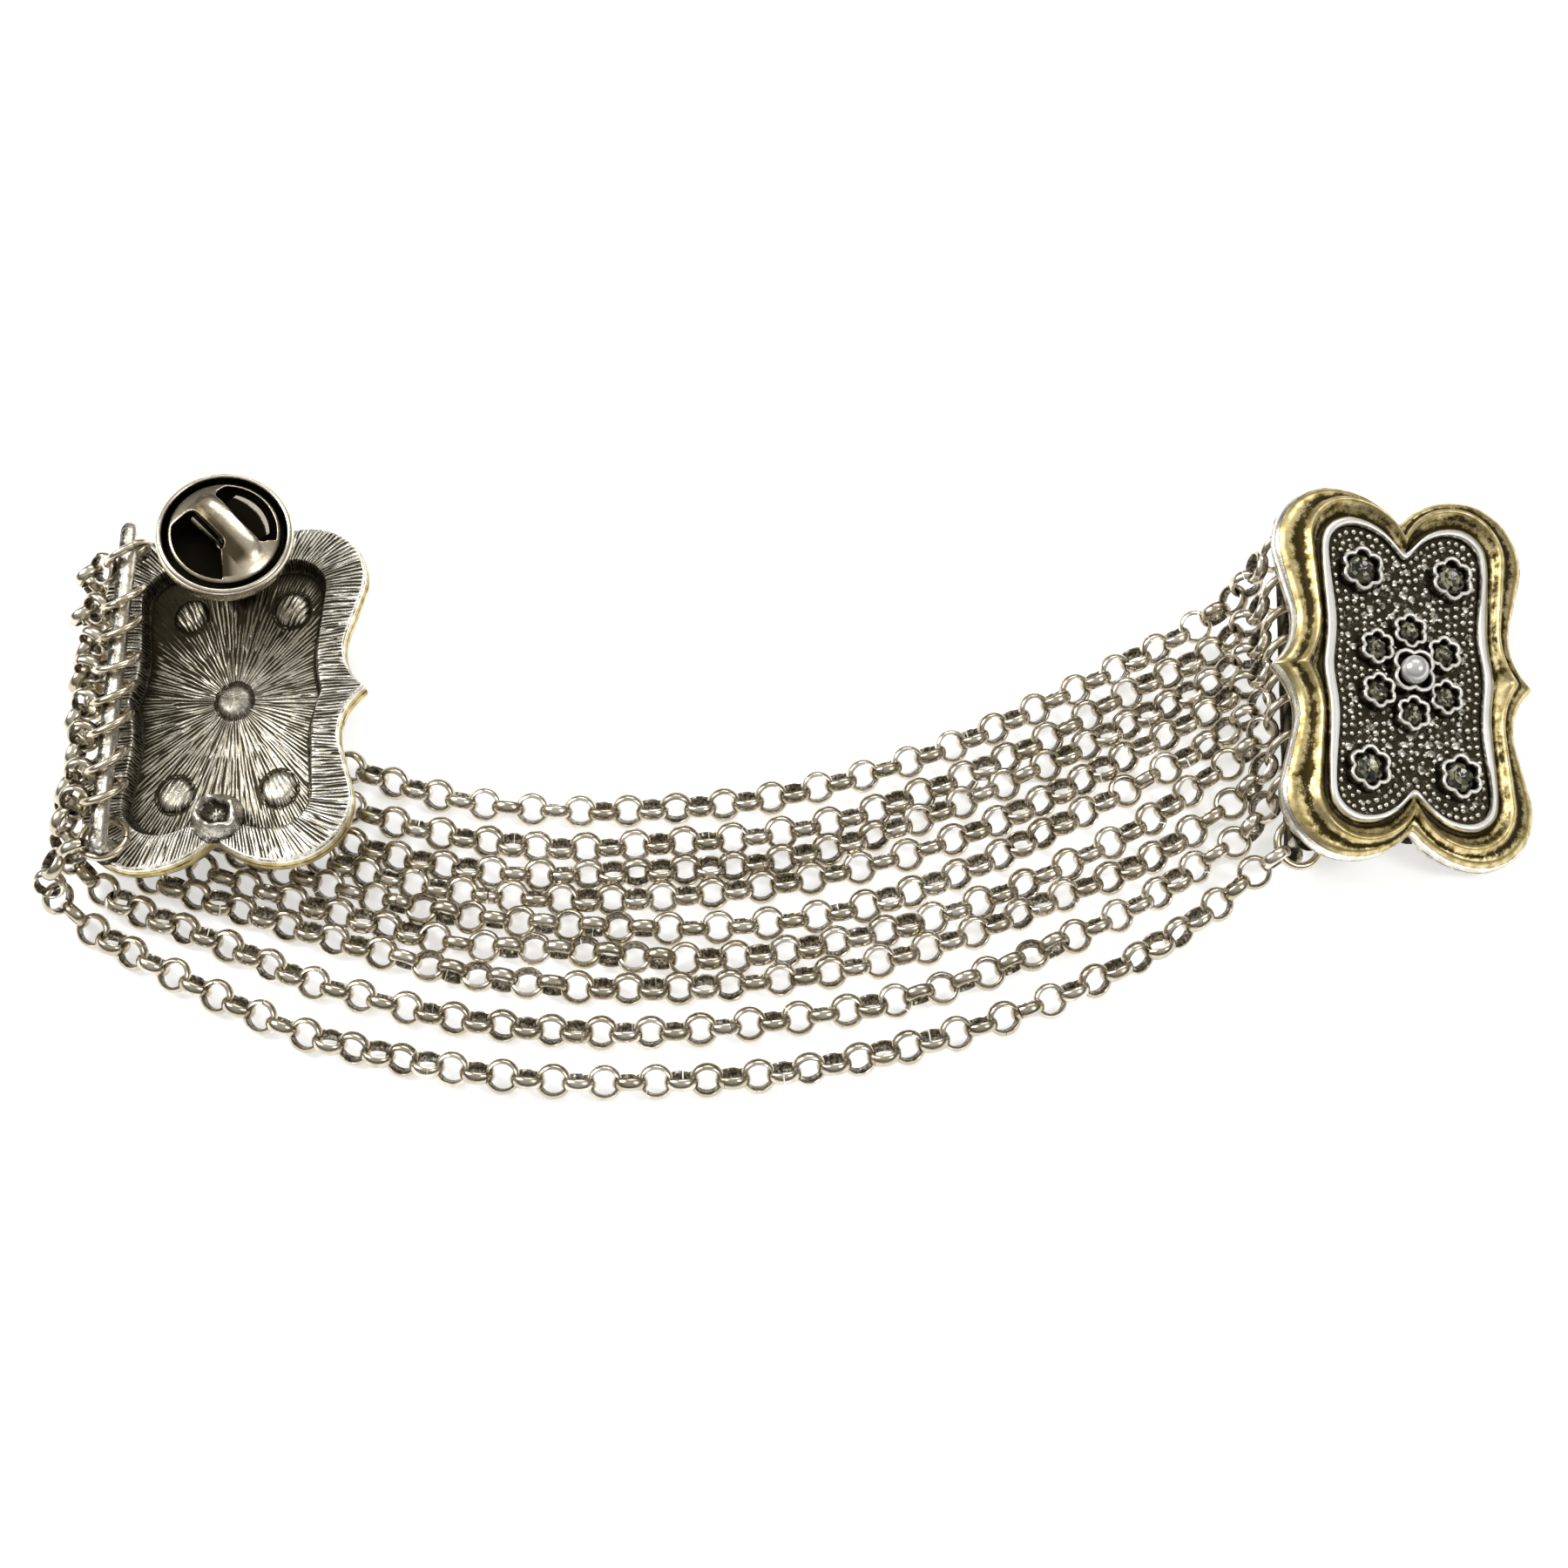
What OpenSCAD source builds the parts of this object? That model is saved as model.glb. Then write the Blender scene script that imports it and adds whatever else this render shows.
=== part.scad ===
// Charm brooch: two cast ornamental plates joined by nine loose chains, as it lies on a table.
// Millimetres. The table is z = 0, +X runs along the brooch and +Y away from the viewer.
// The left plate lies face down on the chains, the right plate face up on its own clutch.

/* [Plate outline] */
// Half the width across the pointed side cusps
cusp_x = 11.75; // [10:0.05:14]
// Half the width across the corner lobes
lobe_x = 11.2; // [9:0.05:13]
// Half the width at the waists
waist_x = 9.7; // [8:0.05:11]
// Height of the waists above the middle
waist_y = 4.15; // [3:0.05:6]
// Half the height over the corner lobes
lobe_y = 16.1; // [13:0.05:19]
// Height of the notch between two lobes
notch_y = 13.4; // [10:0.05:16]

/* [Collars and stones] */
// Distance of the corner collars from the middle, sideways
corner_x = 4.1; // [3:0.05:6]
// Distance of the corner collars from the middle, lengthways
corner_y = 8.7; // [7:0.05:10]
// Radius of the ring of six collars
wreath_r = 3.6; // [3:0.05:4.5]
// Angle of the side collars of the wreath from the plate's width
wreath_a = 32; // [28:1:36]
// Height of the small collars over the back
collar_z = 3.1; // [2.6:0.05:3.8]
// Height of the centre collar over the back
heart_z = 3.5; // [3:0.05:4.5]
// Thickness of the collar walls
collar_wall = 0.38; // [0.2:0.02:0.6]
// Radius of the pearls
pearl_r = 1.22; // [0.8:0.02:1.5]

/* [Back] */
// Distance of the chain bar from the plate's middle
bar_x = 8.7; // [7:0.05:10]
// Height of the chain bar's centre over the back
bar_z = 2.75; // [2:0.05:4]
// Radius of the chain bar
bar_r = 0.76; // [0.6:0.02:1.2]
// Half the length of the chain bar
bar_half = 15.9; // [13:0.1:17]
// Distance of the bar's feet from its middle
foot_y = 14.3; // [12:0.1:16]
// Distance of the post from the plate's middle
post_y = 11.85; // [10:0.05:13]
// Radius of the post
post_r = 0.5; // [0.3:0.05:0.8]
// Height of the post's tip over the back
post_z = 5.9; // [4:0.1:9]

/* [Clutch] */
// Radius of the clutch
clutch_r = 5.75; // [4:0.05:7]
// Height of the clutches' bore over the back, at its middle
clutch_z = 4.2; // [3:0.05:6]
// Radius of the clutch's bore, wide enough for the clutch to tilt on its post
bore_r = 0.8; // [0.6:0.05:1.2]
// Height of the clutch's rim over the middle of its bore
rim_z = 2.7; // [2:0.05:3.5]

/* [Rings and chains] */
// Radius of a jump ring to the middle of its wire
ring_r = 1.9; // [1.5:0.05:2.5]
// Radius of the jump ring's wire
wire_r = 0.34; // [0.2:0.02:0.5]
// Half the width of a chain's tube
chain_w = 1.0; // [0.8:0.05:1.5]
// Half the height of a chain's tube
chain_h = 1.3; // [0.8:0.05:1.5]

/* [Hidden] */
$fn = 40;

SILVER = [0.72, 0.70, 0.66];
GOLD = [0.62, 0.52, 0.30];
SMOKE = [0.16, 0.15, 0.13];
PEARL = [0.90, 0.90, 0.88];
STEEL = [0.66, 0.64, 0.60];

// Where the plates' middles lie, and how each is turned about X, Y and Z.
// The left plate's own z points out of its back, the right plate's out of its front.
box_shift = [-1.1, 2.19, 0];
left_at = [-46.45, 4.2, 7.65];
left_turn = [0, -6.6, 0.3];
right_at = [51.4, 6.4, 6.0];
right_turn = [13.5, 16, 3.1];

// The plate's section, from the recess round the edge to the field:
// height over the back, then how far the contour lies inside the outline at the cusps,
// waists, sides, tops and notches, and its corner radius.
SECTION = [
    [1.30,  3.90,  2.60,  3.60,  3.40,  3.40, 2.90],
    [0.00,  3.50,  2.10,  3.20,  3.00,  3.00, 3.20],
    [0.00,  0.00,  0.00,  0.00,  0.00,  0.00, 5.35],
    [0.60, -0.20, -0.15, -0.20, -0.20, -0.15, 5.50],
    [1.30, -0.25, -0.20, -0.20, -0.20, -0.15, 5.50],
    [2.00,  0.45,  0.30,  0.50,  0.25,  0.35, 5.10],
    [2.40,  1.30,  0.90,  1.50,  0.70,  1.00, 4.60],
    [2.95,  2.00,  1.40,  2.30,  1.10,  1.65, 4.10],
    [2.80,  2.40,  1.70,  2.60,  1.50,  2.10, 3.80],
    [2.10,  3.50,  2.20,  3.20,  2.35,  3.20, 3.30],
    [2.50,  3.90,  2.45,  3.40,  2.65,  3.60, 3.10],
    [2.50,  4.60,  3.20,  3.95,  3.20,  4.15, 2.80],
    [2.00,  4.80,  3.40,  4.10,  3.35,  4.30, 2.70]
];
field_z = SECTION[len(SECTION) - 1][0];
recess_z = SECTION[0][0];

// Stones: place on the plate, x and y, and size, 1 for the corner collars, 0 for the wreath.
STONES = [
    [-corner_x, corner_y, 1],
    [corner_x, corner_y, 1],
    [-corner_x, -corner_y, 1],
    [corner_x, -corner_y, 1],
    for (a = [90, wreath_a, -wreath_a, -90, 180 + wreath_a, 180 - wreath_a])
        [wreath_r * cos(a), wreath_r * sin(a), 0]
];

// Collars: petals, reach, petal radius, radius of the body between the petals.
CORNER_COLLAR = [6, 2.0, 0.75, 1.45];
WREATH_COLLAR = [6, 1.6, 0.60, 1.15];
HEART_COLLAR = [4, 2.1, 0.80, 1.65];

// Jump rings of the left bar: place along the bar, lean towards the viewer, turn about the
// plate's normal, offset across the bar and height of the ring's middle over the back.
LEFT_RINGS = [
    [12.9, 23, 27, 0, 2.75],
    [8.5, 43, 26, 0, 2.75],
    [5.4, 44, 28, 0, 2.75],
    [2.1, 47, 14, 0, 2.75],
    [-0.9, 44, 26, 0, 2.75],
    [-3.8, 43, 30, 0, 2.75],
    [-7.3, 42, 32, 0, 2.75],
    [-10.3, 46, 23, 0, 2.75],
    [-13.75, 80, 0, 0.1, 1.1]
];

// Jump rings of the right bar: the same columns, with heights counted behind the back.
RIGHT_RINGS = [
    [11.7, -35, 25, 0.30, 2.8],
    [7.9, -35, 25, 0.30, 2.8],
    [4.9, -35, 25, 0.30, 2.8],
    [2.3, -35, 25, 0.20, 2.8],
    [-0.5, -35, 25, 0.20, 2.8],
    [-2.9, -35, 25, 0.20, 2.8],
    [-6.1, -35, 25, 0.20, 2.8],
    [-9.5, -35, 25, 0.20, 2.8],
    [-14.5, -80, 0, 0.10, 1.4]
];

// Left turn of each chain, in the left plate's own x, y and z: out of the ring, over the
// edge, outside it and under it. Columns: y and x of the bight, y of the end at the ring.
BIGHTS = [
    [12.4, -12.75, 12.3],
    [9.0, -12.80, 7.8],
    [5.7, -12.25, 4.4],
    [2.5, -12.40, 1.7],
    [-2.1, -12.45, -1.7],
    [-5.7, -12.20, -4.8],
    [-9.2, -12.75, -8.2],
    [-13.2, -12.65, -11.2],
    [-16.6, -13.60, -15.4]
];

// Stations along the table, and how far each chain lies along Y at them.
STATION_X = [-53, -49, -44, -39, -34, -26, -18, -10, -2, 6, 14, 22, 30, 36, 38.5];
STATION_Y = [
    [14.4, 11.3, 6.6, 2.2, -0.2, -2.6, -3.4, -3.2, -2.3, -0.2, 2.8, 6.9, 11.3, 14.5, 15.6],
    [10.6, 7.4, 2.6, -1.6, -4.0, -6.1, -7.0, -6.5, -5.8, -3.9, -0.6, 3.5, 8.4, 11.2, 12.4],
    [6.8, 3.3, -1.4, -5.0, -7.2, -9.0, -9.5, -9.1, -8.4, -6.3, -3.0, 1.0, 5.4, 8.4, 9.6],
    [2.9, -0.9, -4.9, -7.6, -9.4, -11.2, -11.8, -11.6, -10.6, -8.9, -6.2, -2.2, 2.5, 5.8, 7.1],
    [-1.8, -5.0, -8.0, -10.0, -11.6, -13.4, -14.2, -14.5, -14.1, -12.6, -9.6, -5.3, -0.7, 2.8, 4.2],
    [-5.5, -8.5, -10.6, -12.4, -13.9, -16.0, -16.5, -17.3, -16.9, -15.3, -12.9, -9.3, -4.7, -0.2, 1.2],
    [-9.4, -11.2, -13.0, -14.8, -16.4, -18.7, -19.8, -20.0, -19.4, -18.0, -15.5, -11.9, -8.2, -4.0, -2.3],
    [-12.9, -14.6, -16.8, -19.2, -20.8, -22.8, -23.8, -23.9, -23.1, -21.8, -19.6, -16.1, -11.8, -7.5, -6.0],
    [-16.9, -19.1, -21.7, -24.0, -25.5, -27.3, -28.3, -28.3, -27.8, -26.3, -24.0, -20.9, -16.5, -12.2, -10.2]
];
// Share of the climb to the ring that a chain has made at each station.
STATION_RISE = [0, 0, 0, 0, 0, 0, 0, 0, 0, 0, 0, 0, 0.05, 0.22, 0.5];
// How far below a ring's left side the chain pulls on it, as an angle round the ring,
// and how far the chain's tube stays off the ring.
pull_a = 22;
ring_gap = 1.1;

// The last chain leaves its ring at another angle round the ring and turn of the ring, and
// passes lower over the left plate's back: heights at the ring and at the edge.
last_pull_a = 8;
last_pull_turn = 35;
RING_Z = [1.7, 1.1];
EDGE_Z = [0.6, 0.2];
// The bight's way round the plate's edge, from the bight's own point: x, y and height over
// the back of three points, and then x and y of the point where it comes down on the table.
BIGHT_WAY = [[0, 0, -0.9], [0.1, -0.2, -2.6], [0.9, -0.7, -4.1]];
LANDING = [2.4, -1.5];
// x of a chain's end at its left ring
ring_side_x = -12;

// How the left clutch is tilted on its post, about X and Y.
CLUTCH_TILT = [6, 11.2, 0];
// Radius of the clutches' barrel, height of its foot under the middle of the bore, depth of
// the cup's channel and width of its rolled rim
barrel_r = 1.7;
barrel_z = -1;
channel_depth = 1.7;
rim_w = 0.66;
// The spring's windows: outer radius, half length, half width of the ridge between them and
// their turn about the bore
window_r = 4.1;
window_half = 3.3;
ridge_half = 0.8;
window_turn = -50;
// Offset of post and stub from the middle, and of the bosses, away from the chain bar.
post_x = 0.25;
boss_x = 0.5;
// Outer bosses: distance from the middle one, sideways and lengthways
boss_side = 4.35;
boss_along = 8.7;
// Bosses: how far they stand proud, and their radius at the top and at the recess floor
boss_h = 0.5;
boss_top_r = 1.0;
boss_foot_r = 1.5;
// Feet of the posts: how far they sink into the back, height, radius at the back, then at the
// top of the post's and of the stub's foot, and the stub's bore
foot_sink = 0.5;
foot_h = 1.5;
foot_r = 2.0;
post_foot_r = 1.05;
stub_foot_r = 1.5;
stub_bore_r = 1.1;
// Upper ends of the two chain bars
left_bar_end = 15.9;
right_bar_end = 15;

// Vectors and turns
function unit(v) = v / norm(v);
function about_x(p, a) = [p[0], p[1] * cos(a) - p[2] * sin(a), p[1] * sin(a) + p[2] * cos(a)];
function about_y(p, a) = [p[0] * cos(a) + p[2] * sin(a), p[1], p[2] * cos(a) - p[0] * sin(a)];
function about_z(p, a) = [p[0] * cos(a) - p[1] * sin(a), p[0] * sin(a) + p[1] * cos(a), p[2]];
function turned(p, t) = about_z(about_y(about_x(p, t[0]), t[1]), t[2]);
function from_left(p) = left_at + turned(p, left_turn);
function from_right(p) = right_at + turned(p, right_turn);

module on_left() {
    translate(box_shift + left_at) rotate(left_turn) children();
}

module on_right() {
    translate(box_shift + right_at) rotate(right_turn) children();
}

// Draws a thing made for a back that faces up on the right plate's back.
module on_right_back() {
    on_right() rotate([0, 180, 0]) children();
}

// The plate

// One quarter of a contour, from the notch over the lobe to the cusp: an arc from the notch,
// the corner arc, and the hollow arc of the waist, which the corner meets along a tangent.
function quarter(row) = let(
    cusp = cusp_x - row[1],
    waist = waist_x - row[2],
    side = lobe_x - row[3],
    top = lobe_y - row[4],
    notch = notch_y - row[5],
    corner = row[6],
    mid_x = side - corner,
    mid_y = top - corner,
    rise = top - notch,
    brow = (mid_x * mid_x + rise * rise) / (2 * rise),
    reach = cusp - waist,
    hollow = (reach * reach + waist_y * waist_y) / (2 * reach),
    far_x = waist + hollow,
    apart = norm([far_x - mid_x, waist_y - mid_y]),
    meet = atan2(waist_y - mid_y, far_x - mid_x) + acos(min(1, (corner + hollow) / apart)),
    start = atan2(notch - top + brow, -mid_x),
    last = 180 + asin(waist_y / hollow)
) concat(
    [for (i = [0:3]) let(a = start + (90 - start) * i / 4)
        [mid_x + brow * cos(a), top - brow + brow * sin(a)]],
    [for (i = [0:6]) let(a = 90 + (meet - 90) * i / 6)
        [mid_x + corner * cos(a), mid_y + corner * sin(a)]],
    [for (i = [0:5]) let(a = meet + 180 + (last - meet - 180) * i / 5)
        [far_x + hollow * cos(a), waist_y + hollow * sin(a)]]
);

function contour(row) = let(q = quarter(row), n = len(q)) concat(
    [for (i = [0:n - 1]) [q[i][0], q[i][1], row[0]]],
    [for (i = [n - 2:-1:0]) [q[i][0], -q[i][1], row[0]]],
    [for (i = [1:n - 1]) [-q[i][0], -q[i][1], row[0]]],
    [for (i = [n - 2:-1:1]) [-q[i][0], q[i][1], row[0]]]
);

module plate_body() {
    rings = [for (row = SECTION) contour(row)];
    n = len(rings[0]);
    m = len(rings);
    polyhedron(
        points = [for (r = rings) each r],
        faces = concat(
            [[for (i = [n - 1:-1:0]) i]],
            [[for (i = [0:n - 1]) (m - 1) * n + i]],
            [for (j = [0:m - 2], i = [0:n - 1]) let(k = (i + 1) % n)
                [j * n + i, j * n + k, (j + 1) * n + k]],
            [for (j = [0:m - 2], i = [0:n - 1]) let(k = (i + 1) % n)
                [j * n + i, (j + 1) * n + k, (j + 1) * n + i]]
        ),
        convexity = 8
    );
}

module petals(form, inset) {
    circle(form[3] - inset);
    for (i = [0:form[0] - 1])
        rotate(360 / form[0] * (i + 0.5))
            translate([form[1] - form[2], 0])
                circle(form[2] - inset);
}

module collar(form, top) {
    translate([0, 0, field_z - 0.2])
        linear_extrude(height = top - field_z + 0.2)
            difference() {
                petals(form, 0);
                petals(form, collar_wall);
            }
}

module collars() {
    for (s = STONES)
        translate([s[0], s[1], 0])
            collar(s[2] == 1 ? CORNER_COLLAR : WREATH_COLLAR, collar_z);
    collar(HEART_COLLAR, heart_z);
}

// Low round bosses on the recess floor, where the mould was fed.
module bosses() {
    slope = (boss_foot_r - boss_top_r) / boss_h;
    sunk = 0.3;
    for (p = [[0, 0], for (i = [-1, 1], j = [-1, 1]) [i * boss_side, j * boss_along]])
        translate([boss_x + p[0], p[1], recess_z - boss_h])
            cylinder(h = boss_h + sunk, r1 = boss_top_r, r2 = boss_foot_r + slope * sunk);
}

module chain_bar(end) {
    rotate([90, 0, 0])
        rotate_extrude()
            polygon([
                [0, -end],
                [0.45, -end],
                [bar_r + 0.08, -end + 0.5],
                [bar_r, -end + 2],
                [bar_r, bar_half - 2.5],
                [bar_r + 0.08, bar_half - 0.6],
                [0.45, bar_half],
                [0, bar_half]
            ]);
    for (y = [-foot_y, end - 1])
        translate([0, y, -bar_z - 0.4])
            cylinder(h = bar_z + 0.4, r = bar_r - 0.08);
}

// A foot that a post stands on; the unused one is left as a hollow stub.
module post_foot(top) {
    translate([0, 0, -foot_sink]) cylinder(h = foot_h + foot_sink, r1 = foot_r, r2 = top);
}

module post() {
    rotate_extrude()
        polygon([
            [0, 0.2],
            [post_r, 0.2],
            [post_r, post_z - 0.6],
            [0.15, post_z],
            [0, post_z]
        ]);
}

// The casting with its back facing up. The bar is at -x for side -1 and at +x for side 1.
module casting(side, bar_end) {
    difference() {
        union() {
            rotate([0, 180, 0]) {
                plate_body();
                collars();
            }
            scale([-side, 1, 1]) rotate([0, 180, 0]) scale([-1, 1, 1]) bosses();
            translate([side * bar_x, 0, bar_z]) chain_bar(bar_end);
            translate([-side * post_x, post_y, 0]) {
                post_foot(post_foot_r);
                post();
            }
            translate([-side * post_x, -post_y, 0]) post_foot(stub_foot_r);
        }
        translate([-side * post_x, -post_y, 0.3]) cylinder(h = foot_h + 0.1, r = stub_bore_r);
    }
}

// Stones and pearls

module stone(size) {
    girdle = (size == 1 ? CORNER_COLLAR[3] : WREATH_COLLAR[3]) - collar_wall - 0.06;
    translate([0, 0, field_z + 0.06])
        rotate_extrude()
            polygon([
                [0, 0],
                [girdle * 0.45, 0],
                [girdle, 0.45],
                [girdle, 0.55],
                [girdle * 0.6, 0.85],
                [0, 0.85]
            ]);
}

module left_stone(k) {
    color(SMOKE) on_left() rotate([0, 180, 0])
        translate([STONES[k][0], STONES[k][1], 0]) stone(STONES[k][2]);
}

module right_stone(k) {
    color(SMOKE) on_right() translate([STONES[k][0], STONES[k][1], 0]) stone(STONES[k][2]);
}

module pearl() {
    translate([0, 0, field_z + 0.14 + pearl_r]) sphere(r = pearl_r);
}

// Rings

module jump_ring() {
    rotate([90, 0, 0])
        rotate_extrude()
            translate([ring_r, 0])
                circle(r = wire_r, $fn = 20);
}

module left_ring(k) {
    r = LEFT_RINGS[k];
    color(STEEL) on_left()
        translate([-bar_x - r[3], r[0], r[4]])
            rotate([0, 0, r[2]]) rotate([r[1], 0, 0]) jump_ring();
}

module right_ring(k) {
    r = RIGHT_RINGS[k];
    color(STEEL) on_right()
        translate([-bar_x - r[3], r[0], -r[4]])
            rotate([0, 0, r[2]]) rotate([r[1], 0, 0]) jump_ring();
}

// Chains

// Where a chain's tube ends at its ring on the right plate.
function ring_mid(k) = let(r = RIGHT_RINGS[k]) [-bar_x - r[3], r[0], -r[4]];
function is_last(k) = k == len(RIGHT_RINGS) - 1;
function pull(k) = let(r = RIGHT_RINGS[k], a = is_last(k) ? last_pull_a : pull_a)
    about_z(about_x([-cos(a), 0, is_last(k) ? 0 : -sin(a)], r[1]), is_last(k) ? last_pull_turn : r[2]);
function chain_end(k) = from_right(ring_mid(k) + (ring_r + wire_r + ring_gap) * pull(k));

function route(k) = let(
    b = BIGHTS[k],
    low = is_last(k) ? 1 : 0,
    last = chain_end(k),
    climb = last[2] - chain_h
) concat(
    [
        from_left([ring_side_x, b[2], RING_Z[low]]),
        from_left([b[1] + 0.1, (b[0] + b[2]) / 2, EDGE_Z[low]]),
        for (w = BIGHT_WAY) from_left([b[1] + w[0], b[0] + w[1], w[2]]),
        [from_left([b[1] + LANDING[0], 0, 0])[0], left_at[1] + b[0] + LANDING[1], chain_h + 0.15]
    ],
    [for (i = [0:len(STATION_X) - 1])
        [STATION_X[i], STATION_Y[k][i], chain_h + STATION_RISE[i] * climb]],
    [last]
);

// Tangent at a point of the route, and the level direction across it.
function heading(p, i) = unit(p[min(i + 1, len(p) - 1)] - p[max(i - 1, 0)]);
function across(t) = unit([0, 1, 0] - t[1] * t);

module chain(k) {
    p = route(k);
    m = len(p);
    n = 8;
    flat = cos(180 / n);
    points = [for (i = [0:m - 1], j = [0:n - 1]) let(
        side = across(heading(p, i)),
        up = cross(heading(p, i), side),
        a = 360 * (j + 0.5) / n
    ) p[i] + side * chain_w / flat * cos(a) + up * chain_h / flat * sin(a)];
    color(SILVER) translate(box_shift)
        polyhedron(
            points = points,
            faces = concat(
                [[for (j = [0:n - 1]) j]],
                [[for (j = [n - 1:-1:0]) (m - 1) * n + j]],
                [for (i = [0:m - 2], j = [0:n - 1]) let(q = (j + 1) % n)
                    [i * n + j, (i + 1) * n + q, i * n + q]],
                [for (i = [0:m - 2], j = [0:n - 1]) let(q = (j + 1) % n)
                    [i * n + j, (i + 1) * n + j, (i + 1) * n + q]]
            ),
            convexity = 6
        );
}

// Clutches, each with the middle of its bore at the origin

module cup() {
    rotate_extrude($fn = 72)
        polygon([
            [bore_r, barrel_z],
            [barrel_r, barrel_z],
            [barrel_r, rim_z - 2.3],
            [clutch_r - 0.85, rim_z - 2.3],
            [clutch_r - 0.15, rim_z - 1.7],
            [clutch_r, rim_z - 1.2],
            [clutch_r - 0.1, rim_z - 0.35],
            [clutch_r - 0.33, rim_z],
            [clutch_r - 0.52, rim_z - 0.05],
            [clutch_r - rim_w, rim_z - 0.3],
            [clutch_r - rim_w, rim_z - channel_depth],
            [bore_r, rim_z - channel_depth]
        ]);
}

module spring() {
    difference() {
        translate([0, 0, rim_z])
            rotate_extrude($fn = 72)
                polygon([
                    [0, 0.95],
                    [2.0, 0.90],
                    [3.5, 0.65],
                    [4.4, 0.20],
                    [4.72, -0.35],
                    [4.4, -0.35],
                    [4.15, 0],
                    [3.4, 0.32],
                    [2.0, 0.56],
                    [0, 0.60]
                ]);
        rotate(window_turn)
            for (s = [0, 180])
                rotate(s)
                    intersection() {
                        translate([0, 0, rim_z - 1]) cylinder(h = 3, r = window_r);
                        translate([-window_half, ridge_half, rim_z - 1.5])
                            cube([2 * window_half, clutch_r, 4]);
                    }
    }
}

module plain_clutch() {
    rotate_extrude($fn = 72)
        polygon([
            [bore_r, barrel_z],
            [barrel_r, barrel_z],
            [barrel_r, rim_z - 2.3],
            [clutch_r - 0.85, rim_z - 2.3],
            [clutch_r - 0.15, rim_z - 1.7],
            [clutch_r, rim_z - 1.2],
            [clutch_r - 0.1, rim_z - 0.35],
            [clutch_r - 0.33, rim_z],
            [3.6, rim_z],
            [0, rim_z + 0.3],
            [0, rim_z - 0.4],
            [bore_r, rim_z - 0.4]
        ]);
}

module on_left_post() {
    on_left() translate([post_x, post_y, clutch_z]) rotate(CLUTCH_TILT) children();
}

// Sub-parts

module left_plate() { color(SILVER) on_left() casting(-1, left_bar_end); }
module right_plate() { color(GOLD) on_right_back() casting(1, right_bar_end); }
module left_pearl() { color(PEARL) on_left() rotate([0, 180, 0]) pearl(); }
module right_pearl() { color(PEARL) on_right() pearl(); }
module clutch_cup() { color(STEEL) on_left_post() cup(); }
module clutch_spring() { color(SILVER) on_left_post() spring(); }
module right_clutch() {
    color(STEEL) on_right_back() translate([-post_x, post_y, clutch_z + 0.1]) plain_clutch();
}
module left_stone_1() { left_stone(0); }
module left_stone_2() { left_stone(1); }
module left_stone_3() { left_stone(2); }
module left_stone_4() { left_stone(3); }
module left_stone_5() { left_stone(4); }
module left_stone_6() { left_stone(5); }
module left_stone_7() { left_stone(6); }
module left_stone_8() { left_stone(7); }
module left_stone_9() { left_stone(8); }
module left_stone_10() { left_stone(9); }
module right_stone_1() { right_stone(0); }
module right_stone_2() { right_stone(1); }
module right_stone_3() { right_stone(2); }
module right_stone_4() { right_stone(3); }
module right_stone_5() { right_stone(4); }
module right_stone_6() { right_stone(5); }
module right_stone_7() { right_stone(6); }
module right_stone_8() { right_stone(7); }
module right_stone_9() { right_stone(8); }
module right_stone_10() { right_stone(9); }
module left_ring_1() { left_ring(0); }
module left_ring_2() { left_ring(1); }
module left_ring_3() { left_ring(2); }
module left_ring_4() { left_ring(3); }
module left_ring_5() { left_ring(4); }
module left_ring_6() { left_ring(5); }
module left_ring_7() { left_ring(6); }
module left_ring_8() { left_ring(7); }
module left_ring_9() { left_ring(8); }
module right_ring_1() { right_ring(0); }
module right_ring_2() { right_ring(1); }
module right_ring_3() { right_ring(2); }
module right_ring_4() { right_ring(3); }
module right_ring_5() { right_ring(4); }
module right_ring_6() { right_ring(5); }
module right_ring_7() { right_ring(6); }
module right_ring_8() { right_ring(7); }
module right_ring_9() { right_ring(8); }
module chain_1() { chain(0); }
module chain_2() { chain(1); }
module chain_3() { chain(2); }
module chain_4() { chain(3); }
module chain_5() { chain(4); }
module chain_6() { chain(5); }
module chain_7() { chain(6); }
module chain_8() { chain(7); }
module chain_9() { chain(8); }

left_plate();
right_plate();
left_pearl();
right_pearl();
left_stone_1();
left_stone_2();
left_stone_3();
left_stone_4();
left_stone_5();
left_stone_6();
left_stone_7();
left_stone_8();
left_stone_9();
left_stone_10();
right_stone_1();
right_stone_2();
right_stone_3();
right_stone_4();
right_stone_5();
right_stone_6();
right_stone_7();
right_stone_8();
right_stone_9();
right_stone_10();
left_ring_1();
left_ring_2();
left_ring_3();
left_ring_4();
left_ring_5();
left_ring_6();
left_ring_7();
left_ring_8();
left_ring_9();
right_ring_1();
right_ring_2();
right_ring_3();
right_ring_4();
right_ring_5();
right_ring_6();
right_ring_7();
right_ring_8();
right_ring_9();
chain_1();
chain_2();
chain_3();
chain_4();
chain_5();
chain_6();
chain_7();
chain_8();
chain_9();
clutch_cup();
clutch_spring();
right_clutch();
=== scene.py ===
"""Looks of the charm brooch: two antiqued castings joined by nine belcher chains, on a white table.

Lengths are in millimetres in the part's own frame unless a name says otherwise, and become metres
where a mesh is made. The front frame of a plate has its back at z = 0 and z pointing out of its front.
"""
from math import acos, asin, atan2, cos, degrees, hypot, inf, pi, radians, sin, sqrt

import bmesh
import bpy
import numpy as np
from mathutils import Matrix, Vector
from numpy.random import default_rng


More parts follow.
